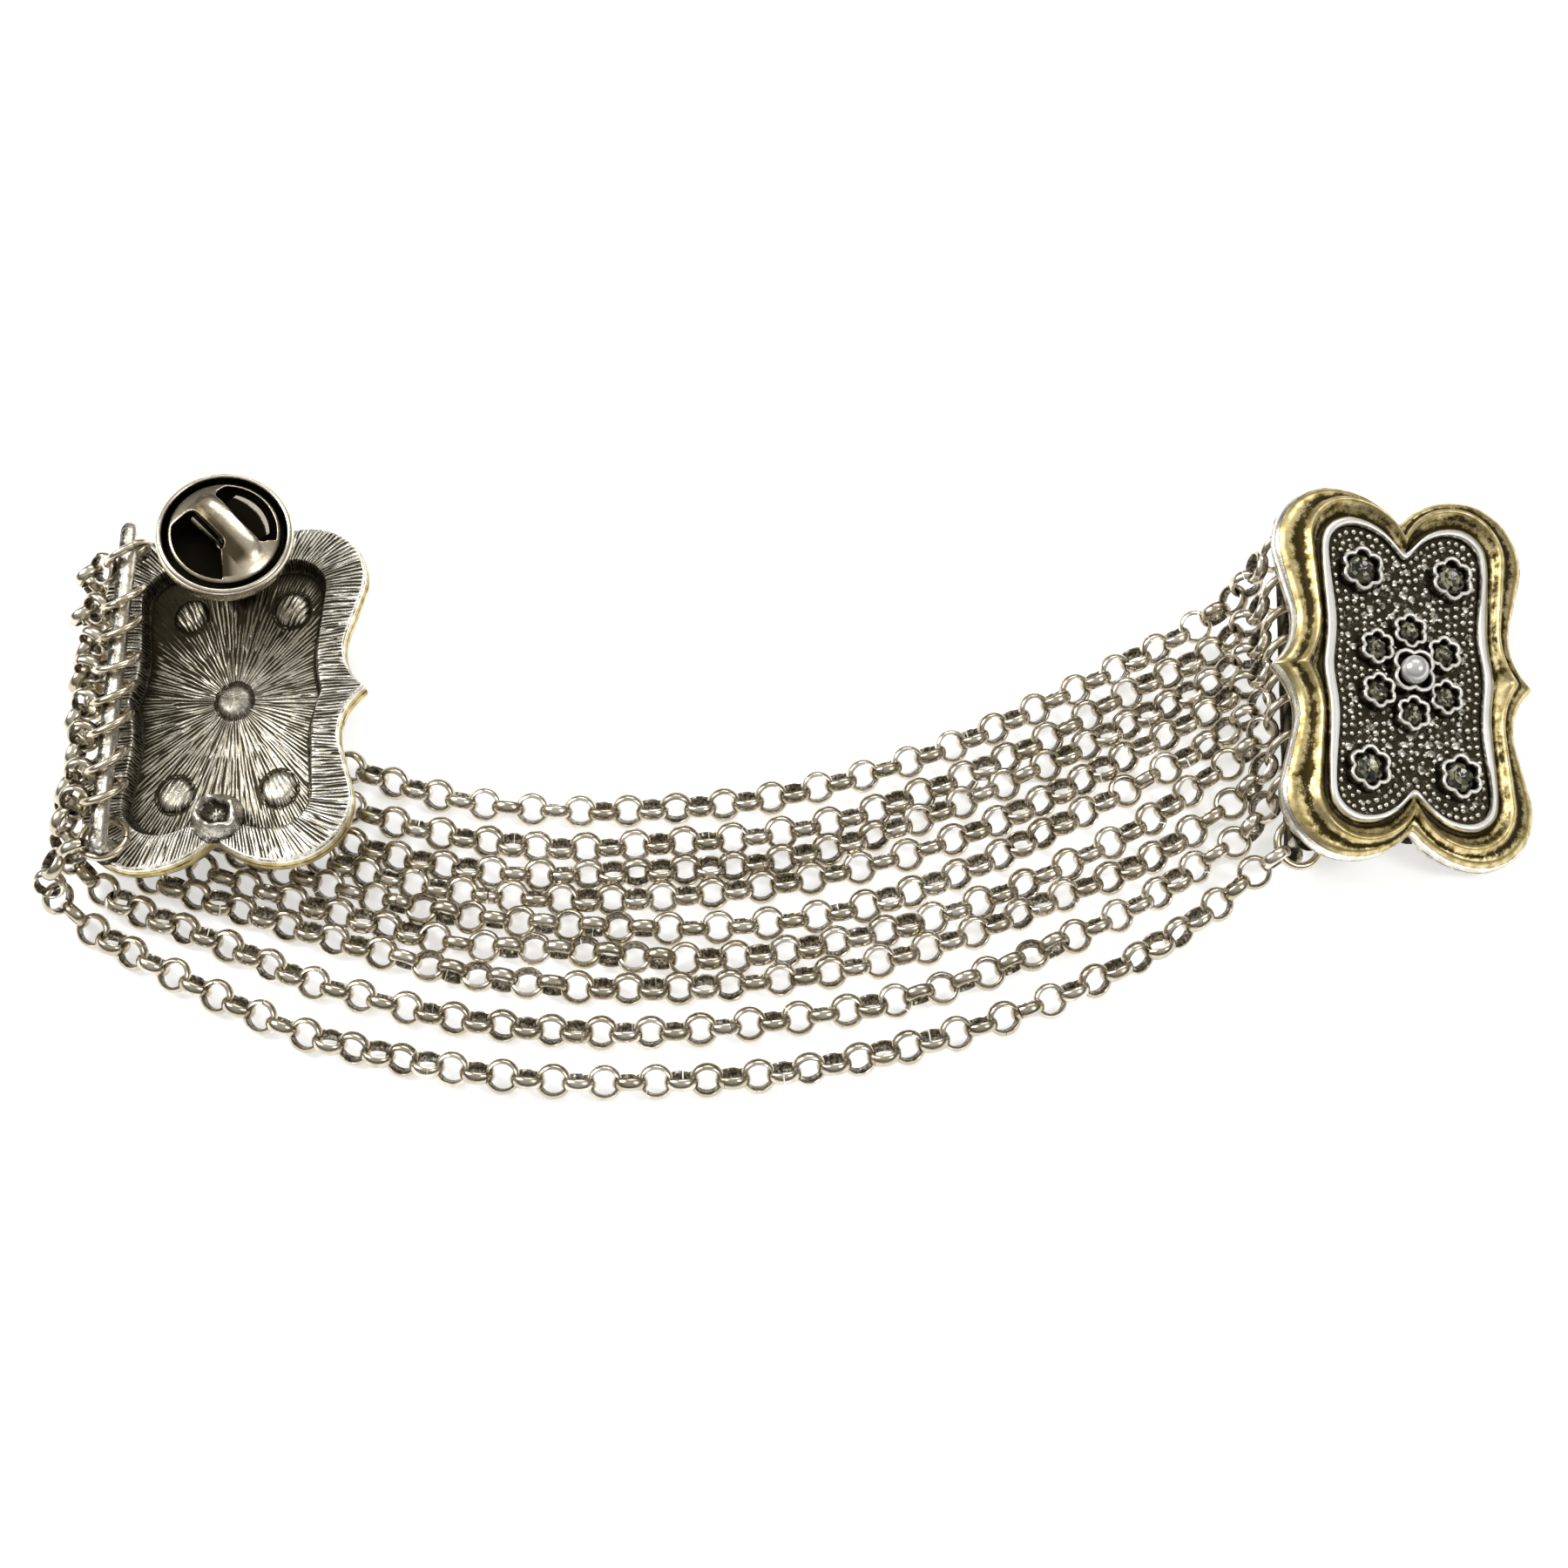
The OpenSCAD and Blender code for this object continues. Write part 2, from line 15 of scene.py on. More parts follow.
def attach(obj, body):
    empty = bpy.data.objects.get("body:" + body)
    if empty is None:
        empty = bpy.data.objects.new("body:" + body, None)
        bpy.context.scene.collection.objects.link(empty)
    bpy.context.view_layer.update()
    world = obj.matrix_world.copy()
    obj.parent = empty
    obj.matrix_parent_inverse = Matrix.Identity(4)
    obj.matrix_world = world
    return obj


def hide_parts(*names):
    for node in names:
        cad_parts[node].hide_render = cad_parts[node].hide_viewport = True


MM = 0.001
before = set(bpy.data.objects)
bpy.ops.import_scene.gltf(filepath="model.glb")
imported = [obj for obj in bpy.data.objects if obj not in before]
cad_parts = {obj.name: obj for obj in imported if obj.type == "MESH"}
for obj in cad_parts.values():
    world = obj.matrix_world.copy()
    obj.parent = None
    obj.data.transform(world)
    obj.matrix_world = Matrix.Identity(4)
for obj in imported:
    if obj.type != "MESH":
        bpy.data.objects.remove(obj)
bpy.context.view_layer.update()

# Places of the two plates, and the move from the photograph's middle to the part's origin.
BOX_SHIFT = (-1.1, 2.19, 0)
LEFT_AT, LEFT_TURN = (-46.45, 4.2, 7.65), (0, -6.6, 0.3)
RIGHT_AT, RIGHT_TURN = (51.4, 6.4, 6), (13.5, 16, 3.1)

# Plate outline, half widths and heights
CUSP_X, LOBE_X, WAIST_X, WAIST_Y, LOBE_Y, NOTCH_Y = 11.75, 11.2, 9.7, 4.15, 16.1, 13.4
# Insets of the plate's section at the cusps, waists, sides, tops and notches, and its corner radius.
SECTION = np.array([
    [3.9, 2.6, 3.6, 3.4, 3.4, 2.9],
    [3.5, 2.1, 3.2, 3, 3, 3.2],
    [0, 0, 0, 0, 0, 5.35],
    [-0.2, -0.15, -0.2, -0.2, -0.15, 5.5],
    [-0.25, -0.2, -0.2, -0.2, -0.15, 5.5],
    [0.45, 0.3, 0.5, 0.25, 0.35, 5.1],
    [1.3, 0.9, 1.5, 0.7, 1, 4.6],
    [2, 1.4, 2.3, 1.1, 1.65, 4.1],
    [2.4, 1.7, 2.6, 1.5, 2.1, 3.8],
    [3.5, 2.2, 3.2, 2.35, 3.2, 3.3],
    [3.9, 2.45, 3.4, 2.65, 3.6, 3.1],
    [4.6, 3.2, 3.95, 3.2, 4.15, 2.8],
    [4.8, 3.4, 4.1, 3.35, 4.3, 2.7],
])
ARC_STEPS = (44, 56, 50)
COLUMNS = 4 * sum(ARC_STEPS)
# Contours are rounded over this many points, and over more of them inside the moulding.
CORNER_SPREAD, RIM_SPREAD, RIM_FOOT = 2, 9, 9.6
FIELD_Z, RECESS_Z = 2, 1.3

# The moulded edge: place in the section, height and share of dark patina.
EDGE = [
    (0, 1.3, 0.95), (0.2, 1.12, 0.9), (0.5, 0.6, 0.75), (0.8, 0.15, 0.45), (0.97, 0.02, 0.05),
    (1.05, -0.03, 0), (1.12, -0.02, 0.1), (1.4, -0.03, 0.2), (1.75, -0.03, 0.15), (1.93, -0.02, 0),
    (1.99, 0.04, 0), (2.04, 0.13, 0.6), (2.12, 0.18, 0.55), (2.25, 0.28, 0), (2.5, 0.42, 0),
    (2.75, 0.52, 0.05), (3, 0.64, 0.1), (3.12, 0.71, 0.85), (3.24, 0.8, 0.6), (3.36, 0.88, 0),
    (3.6, 1.02, 0), (3.9, 1.2, 0.05), (4.15, 1.38, 0.05), (4.3, 1.52, 0.1), (4.46, 1.66, 0.1),
    (4.65, 1.8, 0.05), (4.9, 1.96, 0.1), (5.2, 2.07, 0.15), (5.5, 2.12, 0.35), (5.8, 2.13, 0.65),
    (6.1, 2.17, 0.9), (6.35, 2.3, 0.8), (6.6, 2.54, 0.35), (6.8, 2.76, 0.1), (7, 2.92, 0),
    (7.3, 2.99, 0), (7.6, 2.98, 0), (7.88, 2.9, 0.1), (8.1, 2.72, 0.5), (8.35, 2.5, 0.6),
    (8.6, 2.34, 0.35), (8.85, 2.2, 0.6), (9.1, 2.07, 0.95), (9.45, 2.02, 1), (9.7, 2.08, 0.95),
    (9.84, 2.28, 0.4), (9.98, 2.48, 0), (10.2, 2.62, 0), (10.55, 2.67, 0), (10.95, 2.63, 0),
    (11.2, 2.53, 0), (11.5, 2.38, 0.3), (11.8, 2.14, 1), (12, 2, 1),
]
# Places in the section: the back between recess and edge, the dark seams where the gold tone
# starts, its end, the last worn row of the moulding, and the field's edge.
BACK_START, BACK_END, LEFT_SEAM, RIGHT_SEAM = 1, 1.97, 2.55, 4.42
GOLD_END, WORN_END, FIELD_EDGE = 9.55, 9.8, 12
# The cast lines' run outwards: millimetres in the recess, then this start and step a section row.
EDGE_RUN, EDGE_RUN_STEP = 14, 3
RECESS_ROWS = 34

# Collars: petals, reach of the petals, radius of the body between them and height of the top.
CORNER_COLLAR, WREATH_COLLAR = (6, 1.98, 1.62, 3.1), (6, 1.61, 1.31, 3.1)
HEART_COLLAR = (4, 2.12, 1.62, 3.5)
COLLAR_WALL = 0.38
CORNER_X, CORNER_Y = 4.1, 8.7
WREATH_R, WREATH_ANGLES = 3.6, (90, 32, -32, -90, 212, 148)
STONES = [(x * CORNER_X, y * CORNER_Y, CORNER_COLLAR) for y in (1, -1) for x in (-1, 1)] + [
    (WREATH_R * cos(radians(a)), WREATH_R * sin(radians(a)), WREATH_COLLAR)
    for a in WREATH_ANGLES
]
COLLARS = STONES + [(0, 0, HEART_COLLAR)]
PEARL_R = 1.22
# How far stones and pearls sit over the field.
STONE_SEAT, PEARL_SEAT = 0.06, 0.14

# Back of a plate: chain bar and its feet, post and stub, bosses, and the clutch on the left post.
BAR_X, BAR_Z, BAR_R, BAR_HALF, FOOT_Y = 8.7, 2.75, 0.76, 15.9, 14.3
LEFT_BAR_END, RIGHT_BAR_END = 15.9, 15
POST_X, POST_Y, POST_Z = 0.25, 11.85, 5.9
BOSS_X, BOSS_STEP = 0.5, (4.35, 8.7)
CLUTCH_AT, CLUTCH_TILT, RIM_Z = (0.25, 11.85, 4.2), (6, 11.2, 0), 2.7

# Jump rings: place along the bar, lean, turn, offset across the bar and height over the back.
RING_R, WIRE_R = 1.9, 0.34
LEFT_RINGS = [(s, lean, yaw, 0, 2.75) for s, lean, yaw in (
    (12.9, 23, 27), (8.5, 43, 26), (5.4, 44, 28), (2.1, 47, 14), (-0.9, 44, 26), (-3.8, 43, 30),
    (-7.3, 42, 32), (-10.3, 46, 23),
)] + [(-13.75, 80, 0, 0.1, 1.1)]
RIGHT_RINGS = [(s, -35, 25, off, 2.8) for s, off in (
    (11.7, 0.3), (7.9, 0.3), (4.9, 0.3), (2.3, 0.2), (-0.5, 0.2), (-2.9, 0.2), (-6.1, 0.2), (-9.5, 0.2),
)] + [(-14.5, -80, 0, 0.1, 1.4)]

# Chain routes: y and x of the turn round the left plate's edge, y of the end at the ring, then
# the stations along the table, and the share of the climb to the right ring made at each.
BIGHTS = [
    (12.4, -12.75, 12.3), (9, -12.8, 7.8), (5.7, -12.25, 4.4), (2.5, -12.4, 1.7),
    (-2.1, -12.45, -1.7), (-5.7, -12.2, -4.8), (-9.2, -12.75, -8.2), (-13.2, -12.65, -11.2),
    (-16.6, -13.6, -15.4),
]
STATION_X = [-53, -49, -44, -39, -34, -26, -18, -10, -2, 6, 14, 22, 30, 36, 38.5]
STATION_Y = [
    [14.4, 11.3, 6.6, 2.2, -0.2, -2.6, -3.4, -3.2, -2.3, -0.2, 2.8, 6.9, 11.3, 14.5, 15.6],
    [10.6, 7.4, 2.6, -1.6, -4, -6.1, -7, -6.5, -5.8, -3.9, -0.6, 3.5, 8.4, 11.2, 12.4],
    [6.8, 3.3, -1.4, -5, -7.2, -9, -9.5, -9.1, -8.4, -6.3, -3, 1, 5.4, 8.4, 9.6],
    [2.9, -0.9, -4.9, -7.6, -9.4, -11.2, -11.8, -11.6, -10.6, -8.9, -6.2, -2.2, 2.5, 5.8, 7.1],
    [-1.8, -5, -8, -10, -11.6, -13.4, -14.2, -14.5, -14.1, -12.6, -9.6, -5.3, -0.7, 2.8, 4.2],
    [-5.5, -8.5, -10.6, -12.4, -13.9, -16, -16.5, -17.3, -16.9, -15.3, -12.9, -9.3, -4.7, -0.2, 1.2],
    [-9.4, -11.2, -13, -14.8, -16.4, -18.7, -19.8, -20, -19.4, -18, -15.5, -11.9, -8.2, -4, -2.3],
    [-12.9, -14.6, -16.8, -19.2, -20.8, -22.8, -23.8, -23.9, -23.1, -21.8, -19.6, -16.1, -11.8, -7.5, -6],
    [-16.9, -19.1, -21.7, -24, -25.5, -27.3, -28.3, -28.3, -27.8, -26.3, -24, -20.9, -16.5, -12.2, -10.2],
]
STATION_RISE = [0] * 12 + [0.05, 0.22, 0.5]
# Height of a chain's middle, and its pull off the right rings: degrees downwards, and for the last
# chain its slack and its turn about the plate's normal. The reach is from a ring's middle.
CHAIN_H, PULL_A, LAST_PULL_A, LAST_PULL_TURN, CHAIN_REACH = 1.3, 22, 8, 35, 3.34
# Stretches where a chain has rolled over: chain, first and last x, and by how many degrees.
ROLLED = [(4, -30, -12, 38), (5, -28, -10, 34), (6, -30, -20, 40), (7, 11, 20, 42), (2, -14, -6, -25)]

# Band links: outer radius, thickness, width, distance from link to link, and from a ring's middle
# to the end link's.
LINK_R, LINK_T, LINK_W, PITCH, HOOK_REACH = 1.46, 0.42, 1.04, 2.05, 2.5
LINK_STEPS = 30


def linked(name, data):
    """A new object in the scene."""
    obj = bpy.data.objects.new(name, data)
    bpy.context.scene.collection.objects.link(obj)
    return obj


# Camera

def make_camera():
    """Looks down at 60 degrees on the middle of the photograph, 300 mm away."""
    data = bpy.data.cameras.new("camera")
    data.sensor_width = 36
    data.lens = 81.6
    data.clip_start = 0.01
    obj = linked("camera", data)
    target = Vector(BOX_SHIFT) * MM
    tilt = radians(30)
    obj.location = target + Vector((0, -sin(tilt), cos(tilt))) * 0.3
    obj.rotation_euler = (tilt, 0, 0)
    bpy.context.scene.camera = obj


make_camera()


# Places

def turn(angles):
    """Turns about X, then Y, then Z, in degrees."""
    x, y, z = (radians(a) for a in angles)
    return Matrix.Rotation(z, 4, "Z") @ Matrix.Rotation(y, 4, "Y") @ Matrix.Rotation(x, 4, "X")


def place(at, angles):
    return Matrix.Translation([(a + b) * MM for a, b in zip(at, BOX_SHIFT)]) @ turn(angles)


LEFT = place(LEFT_AT, LEFT_TURN)
RIGHT = place(RIGHT_AT, RIGHT_TURN)
LEFT_FRONT = LEFT @ Matrix.Rotation(pi, 4, "Y")
CLUTCH = LEFT @ Matrix.Translation([v * MM for v in CLUTCH_AT]) @ turn(CLUTCH_TILT)


def moved(matrix, points):
    """Points in millimetres carried by a placement, still in millimetres."""
    m = np.array(matrix)
    return np.asarray(points, float) @ m[:3, :3].T + m[:3, 3] / MM


# Lines and points

def unit(v):
    v = np.asarray(v, float)
    return v / np.linalg.norm(v, axis=-1, keepdims=True)


def circle(steps):
    """Even angles round a full turn."""
    return np.linspace(0, 2 * pi, steps, endpoint=False)


def across(*parts):
    """Points from their coordinates, with single ones spread over the others."""
    return np.stack(np.broadcast_arrays(*parts), axis=-1)


def polar(radius, angle):
    """Plane points at a radius and an angle."""
    return across(radius * np.cos(angle), radius * np.sin(angle))


def at_height(flat, z):
    """Plane points raised to one height, or to one each."""
    return across(flat[:, 0], flat[:, 1], z)


def run_along(points):
    """Length of a line from its start to each of its points."""
    return np.concatenate([[0], np.cumsum(np.linalg.norm(np.diff(points, axis=0), axis=1))])


def nearest(points, q):
    """Distance from a place to the nearest of some points."""
    return np.linalg.norm(points - q, axis=-1).min() if len(points) else inf


def leftward(line):
    """Unit normals to the left of a closed line."""
    along = np.roll(line, -1, 0) - np.roll(line, 1, 0)
    return unit(across(-along[:, 1], along[:, 0]))


def smoothstep(low, high, x):
    t = np.clip((np.asarray(x, float) - low) / (high - low), 0, 1)
    return t * t * (3 - 2 * t)


# Meshes. A shell is (points, faces, values), with values a dict of one number a point.

def skin(rows, closed=True, caps=True, **values):
    """A skin over an array of rows by columns by 3. Caps close its first and last row."""
    m, n = rows.shape[:2]
    index = np.arange(m * n).reshape(m, n)
    if closed:
        index = np.concatenate([index, index[:, :1]], axis=1)
    a, b, c, d = index[:-1, :-1], index[:-1, 1:], index[1:, 1:], index[1:, :-1]
    faces = np.stack([a, b, c, d], axis=-1).reshape(-1, 4).tolist()
    if caps:
        faces.append(list(range(n))[::-1])
        faces.append(list(range((m - 1) * n, m * n)))
    flat = {k: np.broadcast_to(np.asarray(v, float), (m, n)).reshape(-1) for k, v in values.items()}
    return rows.reshape(-1, 3), faces, flat


def lathe(profile, steps, caps=True):
    """Turns a profile of (radius, height, dark) about z."""
    radius, height, dark = np.asarray(profile, float).T[:, :, None]
    a = circle(steps)
    return skin(across(radius * np.cos(a), radius * np.sin(a), height), caps=caps, dark=dark)


def rough_lathe(profile, steps, seed, amount):
    """A turned form with a hand-cast, uneven skin."""
    points, faces, values = lathe(profile, steps)
    push = default_rng(seed).normal(0, amount, points.shape)
    return points + push, faces, values


def shifted(shell, at):
    points, faces, values = shell
    return points + at, faces, values


def carried(matrix, shell):
    points, faces, values = shell
    return moved(matrix, points), faces, values


def joined(shells):
    """Points and faces of some shells, as of one mesh."""
    faces, start = [], 0
    for points, own_faces, _ in shells:
        faces.extend([[i + start for i in face] for face in own_faces])
        start += len(points)
    return np.concatenate([shell[0] for shell in shells]), faces


def new_object(name, points, faces):
    """An object whose faces all look outwards."""
    mesh = bpy.data.meshes.new(name)
    mesh.from_pydata(points.tolist(), [], faces)
    bm = bmesh.new()
    bm.from_mesh(mesh)
    bmesh.ops.recalc_face_normals(bm, faces=bm.faces)
    bm.to_mesh(mesh)
    bm.free()
    return linked(name, mesh)


def keep_values(mesh, key, domain, numbers):
    """Keeps a number a point or a face in the mesh, for its material to read."""
    layer = mesh.attributes.new(key, "FLOAT", domain)
    layer.data.foreach_set("value", numbers.astype(np.float32))


def piece(name, shells, material, replaces, matrix=None, body="brooch", sharp=38, tones=None):
    """Joins shells into one smooth-shaded object, in place of CAD nodes."""
    points, faces = joined(shells)
    obj = new_object(name, (points if matrix is None else moved(matrix, points)) * MM, faces)
    mesh = obj.data
    for key in sorted({key for shell in shells for key in shell[2]}):
        numbers = [np.broadcast_to(np.asarray(v.get(key, 0.0), float), len(p)) for p, _, v in shells]
        keep_values(mesh, key, "POINT", np.concatenate(numbers))
    mesh.polygons.foreach_set("use_smooth", [True] * len(mesh.polygons))
    mesh.set_sharp_from_angle(angle=radians(sharp))
    # Per-face values: for stones, the painted glints of their facets.
    if tones is not None:
        keep_values(mesh, "facet", "FACE", np.resize(tones, len(mesh.polygons)))
    mesh.materials.append(material)
    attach(obj, body)
    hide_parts(*replaces)


# Material nodes

class Signal:
    """What a node puts out. Numbers among them take plain arithmetic, with each other or constants."""

    def __init__(self, tree, socket):
        self.tree, self.socket = tree, socket

    def __add__(self, other):
        return maths(self.tree, "ADD", self, other)

    def __mul__(self, other):
        return maths(self.tree, "MULTIPLY", self, other)

    def __sub__(self, other):
        return maths(self.tree, "SUBTRACT", self, other)

    def __rsub__(self, other):
        return maths(self.tree, "SUBTRACT", other, self)


def new_material(name):
    mat = bpy.data.materials.new(name)
    mat.use_nodes = True
    tree = mat.node_tree
    return mat, tree, tree.nodes["Principled BSDF"]


def feed(tree, node, inputs):
    """Gives values or signals to a node's inputs, by name or number."""
    for key, value in inputs.items():
        if isinstance(value, Signal):
            tree.links.new(value.socket, node.inputs[key])
        else:
            node.inputs[key].default_value = value


def signal(tree, kind, inputs, output=0, **settings):
    """Adds a node and returns one of its outputs."""
    node = tree.nodes.new("ShaderNode" + kind)
    for key, value in settings.items():
        setattr(node, key, value)
    feed(tree, node, inputs)
    return Signal(tree, node.outputs[output])


def maths(tree, operation, a, b=0.0):
    return signal(tree, "Math", {0: a, 1: b}, operation=operation)


def attribute(tree, name):
    return signal(tree, "Attribute", {}, "Fac", attribute_name=name)


def ramp(value, low, high, to_low=0.0, to_high=1.0):
    return signal(value.tree, "MapRange", {
        "Value": value, "From Min": low, "From Max": high, "To Min": to_low, "To Max": to_high,
    }, interpolation_type="SMOOTHSTEP")


def blend(factor, a, b):
    """Mixes two colours, given as signals or as tuples."""
    return signal(factor.tree, "Mix", {0: factor, 6: a, 7: b}, 2, data_type="RGBA")


def noise(tree, scale, detail, roughness, where=None):
    """Noise over the object's own coordinates, in waves a metre, or over others."""
    if where is None:
        where = signal(tree, "TexCoord", {}, "Object")
    return signal(tree, "TexNoise", {
        "Vector": where, "Scale": scale, "Detail": detail, "Roughness": roughness,
    }, "Fac")


def bump(strength, distance, height, **under):
    """Bump of a depth in metres, over another one if that is given as its Normal."""
    inputs = {"Strength": strength, "Distance": distance, "Height": height, **under}
    return signal(height.tree, "Bump", inputs)


# Materials. Colours in pairs are a light and a deep tone.

SILVER = (0.9, 0.87, 0.79, 1), (0.7, 0.65, 0.54, 1)
BRASS = (0.78, 0.65, 0.35, 1), (0.44, 0.34, 0.12, 1)
TARNISHED, FROSTED = (0.3, 0.27, 0.19, 1), (0.9, 0.89, 0.85, 1)
# The silver patina colour also serves as painted shade on the back.
SILVER_PATINA_AND_SHADE, BRASS_PATINA = (0.042, 0.035, 0.021, 1), (0.048, 0.034, 0.011, 1)
CHAIN_TONES = (0.8, 0.74, 0.63, 1), (0.5, 0.44, 0.33, 1)
RING_TONES = (0.84, 0.77, 0.63, 1), (0.6, 0.52, 0.38, 1)
CLUTCH_TONES = (0.82, 0.75, 0.61, 1), (0.47, 0.4, 0.28, 1)
# Brown that a wire's tone blends in; on the clutch spring it is painted shade along the ridge's flank.
WIRE_BROWN_AND_PAINTED_SHADE = (0.1, 0.078, 0.045, 1)
# Patina, and near black painted shadow where dark passes 1, inside the clutch.
WIRE_PATINA_AND_PAINTED_SHADOW = (0.035, 0.03, 0.022, 1), (0.006, 0.005, 0.003, 1)
# Near black, and light olive for the painted glints on the facets.
STONE_DARK_AND_PAINTED_GLINT = (0.005, 0.005, 0.003, 1), (0.42, 0.4, 0.24, 1)
STONE_CLOUD = (0.05, 0.048, 0.03, 1)
NACRE = (0.7, 0.7, 0.67, 1), (0.6, 0.61, 0.6, 1)

# Zones of the cast lines: lines round, then the run over which they appear and fade.
LINE_ZONES = ((76, -2, -1, 4.5, 6.0), (148, 4.5, 6.0, 9.5, 12.0), (292, 9.5, 12.0, 99, 100))


def cast_lines(tree):
    """Lines that run across the outline, more of them towards the edge: a value from 0 to 1."""
    x, y, run = (attribute(tree, name) for name in ("turn_x", "turn_y", "run"))
    angle = maths(tree, "ARCTAN2", y, x)
    zones = []
    for lines, first, full, fade, gone in LINE_ZONES:
        where = signal(tree, "CombineXYZ", {0: x * (lines / 8), 1: y * (lines / 8), 2: run * 0.3})
        uneven = noise(tree, 1.6, 1.0, 0.5, where)
        line = maths(tree, "SINE", angle * lines + uneven * 7.0) * 0.2 + uneven
        zones.append(line * (ramp(run, first, full) - ramp(run, fade, gone)))
    return ramp(sum(zones[1:], zones[0]), 0.22, 0.74)


def casting_metal(tree, gold, lined, frost, blotch):
    """Bare metal: silver, tarnished on the back and frosted on the rim, or gold-toned."""
    tarnish = lined * ramp(attribute(tree, "run"), 15.5, 16.5, 0.58, 0.1)
    silver = blend(tarnish, blend(ramp(blotch, 0.35, 0.65), *SILVER), TARNISHED)
    brass = blend(ramp(blotch, 0.3, 0.7), *BRASS)
    return blend(gold, blend(frost, silver, FROSTED), brass)


def casting_patina_and_shade(tree, gold, lined, speck, blotch, line):
    """Share of patina and painted shade, uneven by grains, clouds, grime on the gold tone and the cast
    lines.
    """
    smooth = 1.0 - lined
    grain = (speck - 0.5) * (smooth + 0.9 - gold * 0.7)
    cloud = (blotch - 0.5) * (smooth * 1.4)
    grime = (noise(tree, 330, 3, 0.6) - 0.46) * (gold * 1.3)
    groove = (0.5 - line) * (lined * 1.45)
    return ramp(attribute(tree, "dark") + grain + (groove + (cloud + grime)), 0.3, 0.85)


def antique_casting():
    """Silver casting with a gold-toned moulding, both under patina rubbed off the high places, with
    painted shade on the back.
    """
    mat, tree, shader = new_material("antique_casting")
    gold, lined, frost = (attribute(tree, name) for name in ("gold", "lined", "frost"))
    speck, blotch, line = noise(tree, 6500, 6, 0.75), noise(tree, 1300, 4, 0.6), cast_lines(tree)
    metal = casting_metal(tree, gold, lined, frost, blotch)
    # This share holds patina and the painted shade of the dark values.
    patina = casting_patina_and_shade(tree, gold, lined, speck, blotch, line)
    satin = gold * 0.09 + frost * 0.15
    feed(tree, shader, {
        "Base Color": blend(patina, metal, blend(gold, SILVER_PATINA_AND_SHADE, BRASS_PATINA)),
        "Metallic": 1.0,
        "Roughness": ramp(blotch, 0.3, 0.7, 0.2, 0.32) + patina * 0.2 + satin,
        "Normal": bump(0.35, 0.00005, speck, Normal=bump(lined * 0.8, 0.00008, line)),
    })
    return mat


def nickel(name, tones, speckle):
    """Worn plated wire: bright outside, dark where links rub and inside, near black painted shadow where
    dark passes 1, and painted brown shade where tone is high.
    """
    mat, tree, shader = new_material(name)
    dark, tone = attribute(tree, "dark"), attribute(tree, "tone")
    speck, blotch = noise(tree, 4200, 5, 0.7), noise(tree, 1100, 3, 0.5)
    metal = blend(ramp(tone * 0.75 + blotch * 0.8, 0.25, 0.8), *tones)
    # A high tone paints brown shade.
    metal = blend(ramp(tone, 0.5, 1.8), metal, WIRE_BROWN_AND_PAINTED_SHADE)
    patina = ramp(dark + (speck - 0.5) * speckle, 0.45, 0.95)
    feed(tree, shader, {
        "Base Color": blend(patina, metal, blend(ramp(dark, 1.0, 1.4), *WIRE_PATINA_AND_PAINTED_SHADOW)),
        "Metallic": 1.0,
        "Roughness": ramp(blotch, 0.3, 0.7, 0.15, 0.3) + patina * 0.25,
        "Normal": bump(0.2, 0.00004, speck),
    })
    return mat


def smoky_stone():
    """Smoky rhinestone with painted reflections: each facet gets its own share of light olive over near
    black.
    """
    mat, tree, shader = new_material("smoky_stone")
    olive = blend(ramp(attribute(tree, "facet"), 0.35, 1.0), *STONE_DARK_AND_PAINTED_GLINT)
    feed(tree, shader, {
        "Base Color": blend(ramp(noise(tree, 1800, 3, 0.6), 0.45, 0.75), olive, STONE_CLOUD),
        "Roughness": 0.05, "IOR": 1.6, "Coat Weight": 0.2, "Coat Roughness": 0.03,
    })
    return mat


def pearl_skin():
    """Nacre, faintly clouded."""
    mat, tree, shader = new_material("pearl")
    feed(tree, shader, {
        "Base Color": blend(ramp(noise(tree, 700, 3, 0.5), 0.4, 0.6), *NACRE),
        "Metallic": 0.45, "Roughness": 0.24, "Coat Weight": 0.7, "Coat Roughness": 0.08,
        "Subsurface Weight": 0.15, "Subsurface Scale": 0.0006,
    })
    return mat


CAST = antique_casting()
CHAIN = nickel("chain_nickel", CHAIN_TONES, 1.3)
RING = nickel("ring_nickel", RING_TONES, 0.8)
CLUTCH_METAL = nickel("clutch_nickel", CLUTCH_TONES, 1.4)
STONE = smoky_stone()
PEARL = pearl_skin()


# Plate outline

def arc(middle, radius, first, last, steps):
    return polar(radius, np.linspace(first, last, steps, endpoint=False)) + middle


def quarter(insets):
    """A quarter of a contour, from the notch over the lobe to the cusp."""
    cusp, waist, side, top, notch = np.array([CUSP_X, WAIST_X, LOBE_X, LOBE_Y, NOTCH_Y]) - insets[:5]
    corner = insets[5]
    mid_x, mid_y, rise, reach = side - corner, top - corner, top - notch, cusp - waist
    brow = (mid_x ** 2 + rise ** 2) / (2 * rise)
    hollow = (reach ** 2 + WAIST_Y ** 2) / (2 * reach)
    far_x = waist + hollow
    apart = hypot(far_x - mid_x, WAIST_Y - mid_y)
    meet = atan2(WAIST_Y - mid_y, far_x - mid_x) + acos(min(1, (corner + hollow) / apart))
    start = atan2(notch - top + brow, -mid_x)
    last = pi + asin(WAIST_Y / hollow)
    return np.concatenate([
        arc((mid_x, top - brow), brow, start, pi / 2, ARC_STEPS[0]),
        arc((mid_x, mid_y), corner, pi / 2, meet, ARC_STEPS[1]),
        arc((far_x, WAIST_Y), hollow, meet + pi, last, ARC_STEPS[2]),
        [[cusp, 0.0]],
    ])


